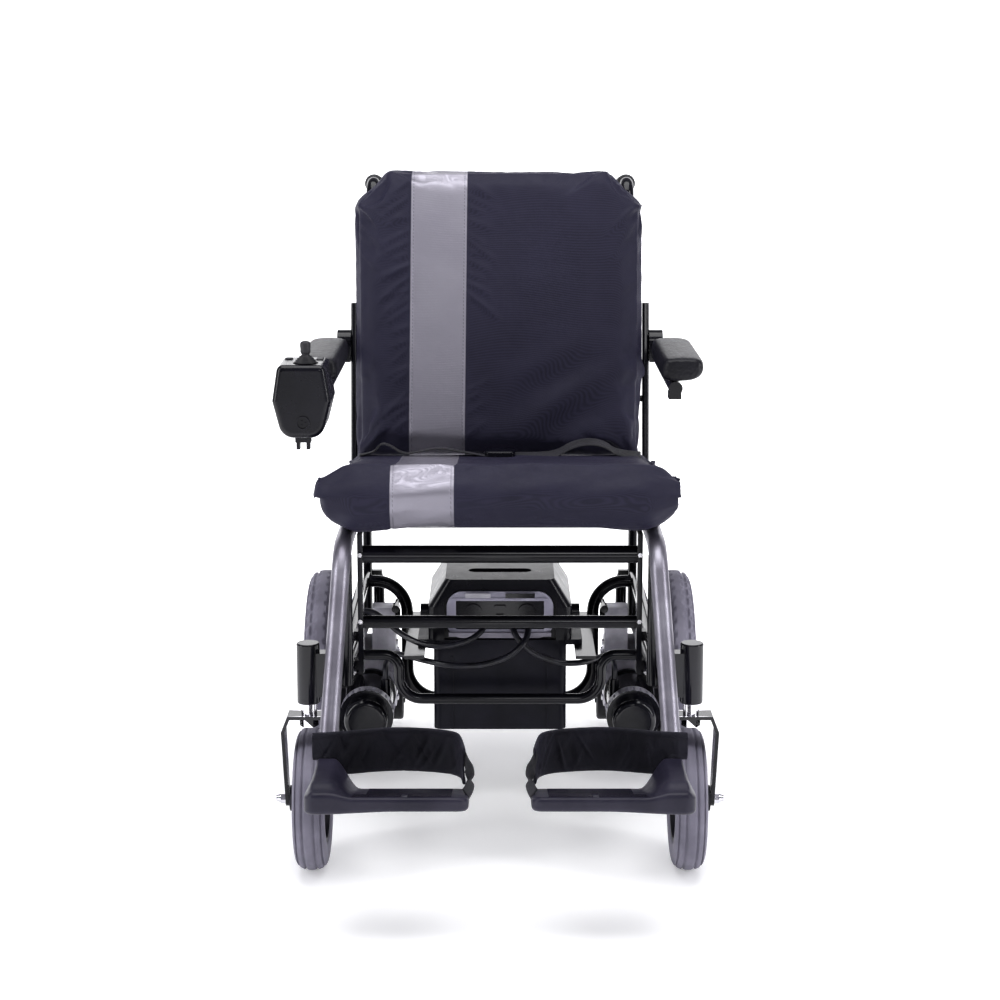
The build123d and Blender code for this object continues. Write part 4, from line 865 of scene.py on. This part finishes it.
def seat_shape(places, outward):
    x, y, z = places.T
    reach_y, reach_z = y - roll_middle.y, z - roll_middle.z
    reach = np.hypot(reach_y, reach_z)
    on_roll = reach < 0.06
    away = np.stack([np.zeros_like(x), reach_y / reach, reach_z / reach], axis=1)
    angle = np.arctan2(reach_z, reach_y) % (2 * pi)
    from_end = 0.243 - np.abs(x)
    end_side = np.sign(x)
    lift = 0.0016 * np.sin(x * 37 + angle * 2) * np.sin(angle * 3 + x * 11)
    # Puckers that run in from the tied ends.
    for fold_side, fold_angle, length, twist, height in ROLL_FOLDS:
        gap = (angle - fold_angle - twist * from_end + pi) % (2 * pi) - pi
        fade = 1 - np.clip(from_end / length, 0, 1)
        lift += height * np.exp(-(gap / 0.17) ** 2) * fade * (end_side == fold_side)
    # The ends draw in to a blunt ear that leans outward at the top.
    ear = ramp(-from_end, -0.045, 0.0)
    lift -= 0.010 * ear
    # The sewn strip's edges bite into the roll.
    for edge in (-0.151, -0.064):
        lift -= 0.0014 * np.exp(-((x - edge) / 0.0024) ** 2)
    move = away * lift[:, None]
    lean_out = np.where(end_side < 0, -0.014, 0.006) * ear * np.where(reach_z > 0, 1.0, 0.4)
    move[:, 0] += lean_out
    # The underside sags slightly towards the sides.
    sag = 0.006 * ramp(np.abs(x), 0.10, 0.20) * (1 - ear) * np.where(end_side < 0, 1.3, 0.7)
    move[:, 2] -= np.where(reach_z < 0, sag, 0.0)
    move *= on_roll[:, None]
    seat_top = ~on_roll & (outward[:, 2] > 0.3)
    move[:, 2] += np.where(seat_top, 0.0022 * np.sin(x * 24 + y * 9) * np.sin(y * 31), 0.0)
    return move


reshape(seat_cover, seat_shape)
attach(seat_cover, "chassis")
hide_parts("seat_cushion")
print("seat cover", len(seat_cover.data.vertices), "points")

# %% [markdown]
# ## Webbing and heel bands
# Flat cloth is built as a ribbon: a section of real thickness carried along a path. The heel
# bands have a rolled hem along both edges and loose cross folds between them.


# %% Ribbon maker
def smooth_path(points, steps):
    """Points along a quadratic spline through the given control points."""
    curve = bpy.data.curves.new("route", "CURVE")
    curve.dimensions = "3D"
    spline = curve.splines.new("NURBS")
    spline.points.add(len(points) - 1)
    for spot, point in zip(spline.points, points):
        spot.co = (*point, 1)
    spline.order_u = 3
    spline.use_endpoint_u = True
    spline.resolution_u = 24
    holder = bpy.data.objects.new("route", curve)
    bpy.context.scene.collection.objects.link(holder)
    bpy.context.view_layer.update()
    mesh = bpy.data.meshes.new_from_object(holder.evaluated_get(bpy.context.evaluated_depsgraph_get()))
    line = [vertex.co.copy() for vertex in mesh.vertices]
    bpy.data.objects.remove(holder)
    lengths = [0.0]
    for before, after in zip(line, line[1:]):
        lengths.append(lengths[-1] + (after - before).length)
    even = []
    for i in range(steps + 1):
        target = lengths[-1] * i / steps
        k = min(max(np.searchsorted(lengths, target), 1), len(line) - 1)
        share = (target - lengths[k - 1]) / max(lengths[k] - lengths[k - 1], 1e-9)
        even.append(line[k - 1].lerp(line[k], share))
    return even, lengths[-1]


def ribbon(name, path, wide_axis, section, material, ripple=None):
    """Carry a section (across, through) along a path. section(share) lists its points."""
    rings = []
    for i, centre in enumerate(path):
        ahead = path[min(i + 1, len(path) - 1)] - path[max(i - 1, 0)]
        share = i / (len(path) - 1)
        across = Vector(wide_axis)
        across = (across - ahead.normalized() * across.dot(ahead.normalized())).normalized()
        through = across.cross(ahead).normalized()
        ring = []
        for a, t in section(share):
            lift = ripple(share, a) if ripple else 0.0
            ring.append(centre + across * a + through * (t + lift))
        rings.append(ring)
    return join_rings(name, rings, material)


def webbing_section(width, thickness, steps=8):
    """A flat section with rounded selvedges."""
    half = width / 2
    shares = [2 * i / steps - 1 for i in range(steps + 1)]
    top = [(half * share, thickness / 2 * (1 - abs(share) ** 6 * 0.6)) for share in shares]
    return top + [(a, -t) for a, t in reversed(top)]


print("ribbon maker ready")

# %% Heel bands
PIVOT_X = 0.23057
BAND_FOOT, BAND_TOP, BAND_MIDDLE = 0.189, 0.248, 0.2185


def band_section(share):
    """Band height changes along it: cut away at the pivot end, narrowed at the inner end."""
    outer_cut = 0.0215 * (1 - smooth_edge(share, 0.08, 0.17))
    inner_cut = smooth_edge(share, 0.80, 0.93)
    foot = BAND_FOOT + outer_cut + 0.003 * inner_cut
    top = BAND_TOP - 0.006 * inner_cut + 0.002 * sin(pi * share)
    middle = (BAND_FOOT + BAND_TOP) / 2
    points = []
    steps = 26
    for i in range(steps + 1):
        height = foot + (top - foot) * i / steps
        edge = min(height - foot, top - height)
        hem = 0.0011 * (1 - smooth_edge(abs(edge - 0.0035), 0.002, 0.0036)) + 0.0012
        points.append((height - middle, hem))
    return points + [(a, -t) for a, t in reversed(points)]


for side_name, side in SIDES:
    route = [(side * x, y, BAND_MIDDLE) for x, y in (
        (PIVOT_X + 0.018, -0.3635), (PIVOT_X - 0.020, -0.362), (0.175, -0.351), (0.140, -0.3435),
        (0.095, -0.348), (0.058, -0.360), (0.048, -0.385), (0.046, -0.412))]
    path, length = smooth_path(route, 150)
    band_rng = np.random.default_rng(20 + side)
    creases = [(band_rng.uniform(0.05, 0.85), band_rng.uniform(-0.03, 0.03), band_rng.uniform(-3, 3),
                band_rng.uniform(0.0008, 0.0026), band_rng.uniform(0.008, 0.02)) for _ in range(30)]

    # The creases are bound as a default, so each band keeps its own.
    def band_ripple(share, across, creases=creases):
        total = 0.0
        for start, middle, slant, lift, width in creases:
            gap = share - start - slant * (across - middle)
            total += lift * exp(-(gap / width) ** 2) * exp(-((across - middle) / 0.02) ** 2)
        return (total - 0.0015) * (1 - abs(across) / 0.05)

    band = ribbon(f"heel_band_{side_name}", path, (0, 0, 1), band_section, band_cloth.material, band_ripple)
    soften(band)
    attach(band, f"foot_{side_name}")
    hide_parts(f"heel_strap_{side_name}")
    print(band.name, "length", round(length, 3))

# %% Ties from the bands to the plates
for side_name, side in SIDES:
    route = [(side * 0.0475, -0.395, 0.228), (side * 0.0440, -0.418, 0.226), (side * 0.0375, -0.432, 0.213),
             (side * 0.0375, -0.440, 0.200), (side * 0.0440, -0.452, 0.1935)]
    path, length = smooth_path(route, 40)
    tie = ribbon(f"band_tie_{side_name}", path, (0, 0.45, 0.9),
                 lambda share: webbing_section(0.017, 0.0022), webbing.material)
    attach(tie, f"foot_{side_name}")
    print(tie.name, "length", round(length, 3))

# %% [markdown]
# ## Foot plates
# A foot plate is a thin moulded shell with a soft edge. Its tread rises towards the toe, and a
# rounded hump at the outer side holds the pivot. The shell is a grid: each point's height
# comes from the slope, the hump and how near it is to the rim.


# %% Foot plate shells
PLATE_OUTER, PLATE_INNER, PLATE_FRONT, PLATE_REAR = 0.2495, 0.0400, -0.4970, -0.3715
TREAD_LOW, TREAD_START, TREAD_SLOPE = 0.174, -0.372, 0.24008
HUMP_TOP, PLATE_LOWEST = 0.2165, 0.1665
CORNER, RIM = 0.016, 0.0065
COLUMNS, ROWS = 84, 52


def plate_height(y):
    """Height of the sloping tread, which rises towards the toe."""
    return TREAD_LOW + (TREAD_START - y) * TREAD_SLOPE


def hump_height(x, y):
    """The pivot hump: flat on top, falling to the tread on the inner side."""
    over = smooth_edge(x, 0.184, 0.2190) * (1 - smooth_edge(x, 0.2385, 0.2475) * 0.62)
    along = smooth_edge(y, PLATE_FRONT, -0.466)
    full = HUMP_TOP - plate_height(y)
    return full * over * (0.42 + 0.58 * along)


def rounded_spot(u, v):
    """A spot of the outline, pulled in where it is in a corner, and its distance from the rim."""
    x = PLATE_OUTER + (PLATE_INNER - PLATE_OUTER) * u
    y = PLATE_FRONT + (PLATE_REAR - PLATE_FRONT) * v
    gap_x, gap_y = min(PLATE_OUTER - x, x - PLATE_INNER), min(y - PLATE_FRONT, PLATE_REAR - y)
    if gap_x >= CORNER or gap_y >= CORNER:
        return x, y, min(gap_x, gap_y)
    square = max(CORNER - gap_x, CORNER - gap_y)
    pull = square / max(hypot(CORNER - gap_x, CORNER - gap_y), 1e-9)
    gap_x, gap_y = CORNER - (CORNER - gap_x) * pull, CORNER - (CORNER - gap_y) * pull
    x = PLATE_OUTER - gap_x if PLATE_OUTER - x < x - PLATE_INNER else PLATE_INNER + gap_x
    y = PLATE_FRONT + gap_y if y - PLATE_FRONT < PLATE_REAR - y else PLATE_REAR - gap_y
    return x, y, CORNER - square


def plate_shell(name, side, material):
    """A closed shell over a rounded outline."""
    points = []
    for layer in (1, -1):
        for i in range(COLUMNS + 1):
            for j in range(ROWS + 1):
                # Grid lines crowd towards the rim, where the edge turns over.
                u, v = 0.5 - 0.5 * cos(pi * i / COLUMNS), 0.5 - 0.5 * cos(pi * j / ROWS)
                x, y, rim_gap = rounded_spot(u, v)
                edge = 1 - min(rim_gap / RIM, 1.0)
                turn_down = RIM * (1 - (1 - edge * edge) ** 0.5)
                top = plate_height(y) + hump_height(x, y)
                thickness = 0.0190 + 0.004 * smooth_edge(x, 0.13, 0.235)
                bottom = max(plate_height(y) - thickness, PLATE_LOWEST)
                middle = 0.5 * (top + bottom)
                z = max(top - turn_down, middle) if layer > 0 else min(bottom + turn_down, middle)
                points.append((side * x, y, z))
    row = ROWS + 1
    layer_size = (COLUMNS + 1) * row
    faces = []
    for base in (0, layer_size):
        for i in range(COLUMNS):
            for j in range(ROWS):
                k = base + i * row + j
                faces.append((k, k + 1, k + row + 1, k + row))
    border = [i * row for i in range(COLUMNS + 1)]
    border += [COLUMNS * row + j for j in range(1, ROWS + 1)]
    border += [i * row + ROWS for i in range(COLUMNS - 1, -1, -1)]
    border += range(ROWS - 1, 0, -1)
    for here, there in zip(border, border[1:] + border[:1]):
        faces.append((here, there, there + layer_size, here + layer_size))
    return new_piece(name, points, faces, material)


for side_name, side in SIDES:
    shell = plate_shell(f"plate_shell_{side_name}", side, foot_plastic)
    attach(shell, f"foot_{side_name}")
    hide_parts(f"footplate_{side_name}")
    print(shell.name, len(shell.data.vertices), "points")

# %% [markdown]
# ## Lap belt
# The two webbing ends lie in loose loops on the rear of the seat, and come up from the frame at
# its sides. A moulded buckle joins them in the middle.

# %% Lap belt
belt_routes = {
    "left": [(0.020, 0.214, 0.5150), (0.060, 0.212, 0.5150), (0.090, 0.216, 0.5180),
             (0.112, 0.214, 0.5330), (0.140, 0.210, 0.5390), (0.165, 0.212, 0.5330),
             (0.182, 0.216, 0.5180), (0.219, 0.214, 0.5160)],
    "right": [(-0.020, 0.214, 0.5150), (-0.060, 0.212, 0.5220), (-0.095, 0.216, 0.5280),
              (-0.125, 0.210, 0.5230), (-0.150, 0.214, 0.5170), (-0.172, 0.212, 0.5330),
              (-0.186, 0.214, 0.5350), (-0.196, 0.216, 0.5190), (-0.219, 0.214, 0.5165)],
}
for side_name, side in SIDES:
    path, length = smooth_path(belt_routes[side_name], 70)
    belt = ribbon(f"belt_webbing_{side_name}", path, (0, 1, 0.12 * side),
                  lambda share: webbing_section(0.038, 0.0026), webbing.material)
    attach(belt, "chassis")
    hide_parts("lap_belt")
    print(belt.name, "length", round(length, 3))

# %% [markdown]
# ## Arm pads
# An arm pad is foam moulded with its own skin: a long rounded block, crowned on top, with a
# flatter nose in front and a chamfer along the lower outer edge.


# %% Arm pads
def pad_ring(side, y, centre_x, low_z, high_z, half, squeeze, crown):
    """One cross-section of the pad, as points round it."""
    height = high_z - low_z
    outline = [(-0.86, 0.00), (0.62, 0.00), (1.00, 0.36), (1.00, 0.72), (0.90, 0.92), (0.60, 1.00),
               (0.0, 1.00 + crown), (-0.60, 1.00), (-0.90, 0.92), (-1.00, 0.72), (-1.00, 0.16)]
    middle = low_z + height * 0.5
    return [(centre_x + side * half * squeeze * a, y, middle + (low_z + height * b - middle) * squeeze)
            for a, b in outline]


PAD_CROWN_ROOM = 0.003
for side_name, side in SIDES:
    low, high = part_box(f"arm_pad_{side_name}")
    centre_x = (low[0] + high[0]) / 2
    half = (high[0] - low[0]) / 2
    length = high[1] - low[1]
    # Distance from the nose, size of the section, height of the crown.
    stations = [(0.000, 0.60, 0.0), (0.002, 0.80, 0.0), (0.006, 0.93, 0.01), (0.014, 0.985, 0.03),
                (0.030, 1.0, 0.05), (0.10, 1.0, 0.07), (0.19, 1.0, 0.08), (length - 0.03, 1.0, 0.06),
                (length - 0.012, 0.97, 0.03), (length - 0.004, 0.88, 0.0), (length, 0.66, 0.0)]
    rings = [pad_ring(side, low[1] + y, centre_x, low[2], high[2] - PAD_CROWN_ROOM, half, squeeze, crown)
             for y, squeeze, crown in stations]
    pad = join_rings(f"arm_pad_cover_{side_name}", rings, pad_skin.material)
    soften(pad, 2)
    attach(pad, f"arm_{side_name}")
    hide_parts(f"arm_pad_{side_name}")
    print(pad.name, len(pad.data.vertices), "points")

# %% [markdown]
# ## Turned rubber parts
# The joystick's knob with its folded boot and the push grips are turned shapes: a profile
# spun round an axis. The boot's folds and the grips' finger ribs are in the profile.


# %% Turned parts
def turned(name, profile, origin, axis, material, steps=48):
    """Spin (radius, along) pairs round an axis from an origin."""
    axis = Vector(axis).normalized()
    sideways = axis.orthogonal().normalized()
    other = axis.cross(sideways)
    rings = []
    for radius, along in profile:
        ring = []
        for i in range(steps):
            turn = 2 * pi * i / steps
            outward = sideways * (radius * cos(turn)) + other * (radius * sin(turn))
            ring.append(Vector(origin) + axis * along + outward)
        rings.append(ring)
    return join_rings(name, rings, material)


# Radius and height above the stick's pivot, from the boot's foot to the knob's crown.
boot = [(0.0158, 0.0064), (0.0160, 0.0074), (0.0138, 0.0088), (0.0146, 0.0102), (0.0112, 0.0114),
        (0.0122, 0.0128), (0.0086, 0.0140), (0.0094, 0.0154), (0.0062, 0.0166), (0.0054, 0.0182),
        (0.0062, 0.0196), (0.0072, 0.0215), (0.0070, 0.0260), (0.0075, 0.0300), (0.0074, 0.0335),
        (0.0060, 0.0360), (0.0030, 0.0370), (0.0008, 0.0371)]
stick_knob = turned("joystick_boot", boot, (-0.272, -0.097, 0.697), (0, 0, 1), soft_rubber.material)
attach(stick_knob, "stick")
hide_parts("joystick")

for side_name, side in SIDES:
    rear = Vector((side * 0.204, 0.505, 0.917))
    forward = Vector((side * 0.204, 0.4102, 0.925)) - Vector((side * 0.204, 0.502, 0.917))
    profile = [(0.0040, 0.0), (0.0125, 0.0006), (0.0146, 0.0026)]
    for i in range(9):
        start = 0.005 + i * 0.0066
        profile += [(0.0150, start), (0.0150, start + 0.0044),
                    (0.0136, start + 0.0052), (0.0136, start + 0.0060)]
    profile += [(0.0150, 0.0655), (0.0146, 0.0690), (0.0114, 0.0698)]
    grip = turned(f"grip_sleeve_{side_name}", profile, rear, forward, soft_rubber.material)
    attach(grip, "backrest")
    if side > 0:
        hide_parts("push_grips")
    print(grip.name)

# %% [markdown]
# ## Small trim
# The foot plates are moulded with fine grip lines, and the socket panel has two blank label
# fields. Both are thin raised slabs with their own thickness, not paint.


# %% Slabs
def slab(name, corners, lift, material):
    """Thin raised slabs: each has four corners on a surface and rises by a lift vector."""
    points, faces = [], []
    for four in corners:
        base = len(points)
        points += [Vector(corner) for corner in four]
        points += [Vector(corner) + Vector(lift) for corner in four]
        faces += [(base, base + 1, base + 2, base + 3), (base + 4, base + 7, base + 6, base + 5)]
        for k in range(4):
            n = (k + 1) % 4
            faces.append((base + k, base + 4 + k, base + 4 + n, base + n))
    return new_piece(name, points, faces, material, smooth=False)


GRIP_LINE = 0.0022


def grip_line(side, start, end, y):
    """Four corners of one line across the tread."""
    far = y + GRIP_LINE
    return [(side * start, y, plate_height(y)), (side * end, y, plate_height(y)),
            (side * end, far, plate_height(far)), (side * start, far, plate_height(far))]


for side_name, side in SIDES:
    lines = [grip_line(side, start, end, y) for y in np.linspace(-0.486, -0.462, 4)
             for start, end in ((0.062, 0.118), (0.126, 0.200))]
    lines += [grip_line(side, 0.062, 0.172, y) for y in np.linspace(-0.452, -0.388, 7)]
    grip_lines = slab(f"grip_lines_{side_name}", lines, (0, 0.0002, 0.0009), foot_plastic)
    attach(grip_lines, f"foot_{side_name}")
    print(grip_lines.name, len(lines), "lines")

LABEL_FACE, LABEL_LOW, LABEL_HIGH = PANEL_FRONT - 0.0002, 0.3292, 0.3362
pale_label = Finish("blank_label")
pale_label.worn((0.42, 0.41, 0.46), (0.52, 0.51, 0.56), 60)
pale_label.gloss(80, 4, 0.45, 0.6)
for name, low_x, high_x, material in (("blank_label_pale", -0.052, -0.014, pale_label.material),
                                      ("blank_label_dark", 0.008, 0.052, motor_gloss)):
    corners = [(low_x, LABEL_FACE, LABEL_LOW), (high_x, LABEL_FACE, LABEL_LOW),
               (high_x, LABEL_FACE, LABEL_HIGH), (low_x, LABEL_FACE, LABEL_HIGH)]
    plate = slab(name, [corners], (0, -0.0006, 0), material)
    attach(plate, "battery_pack")
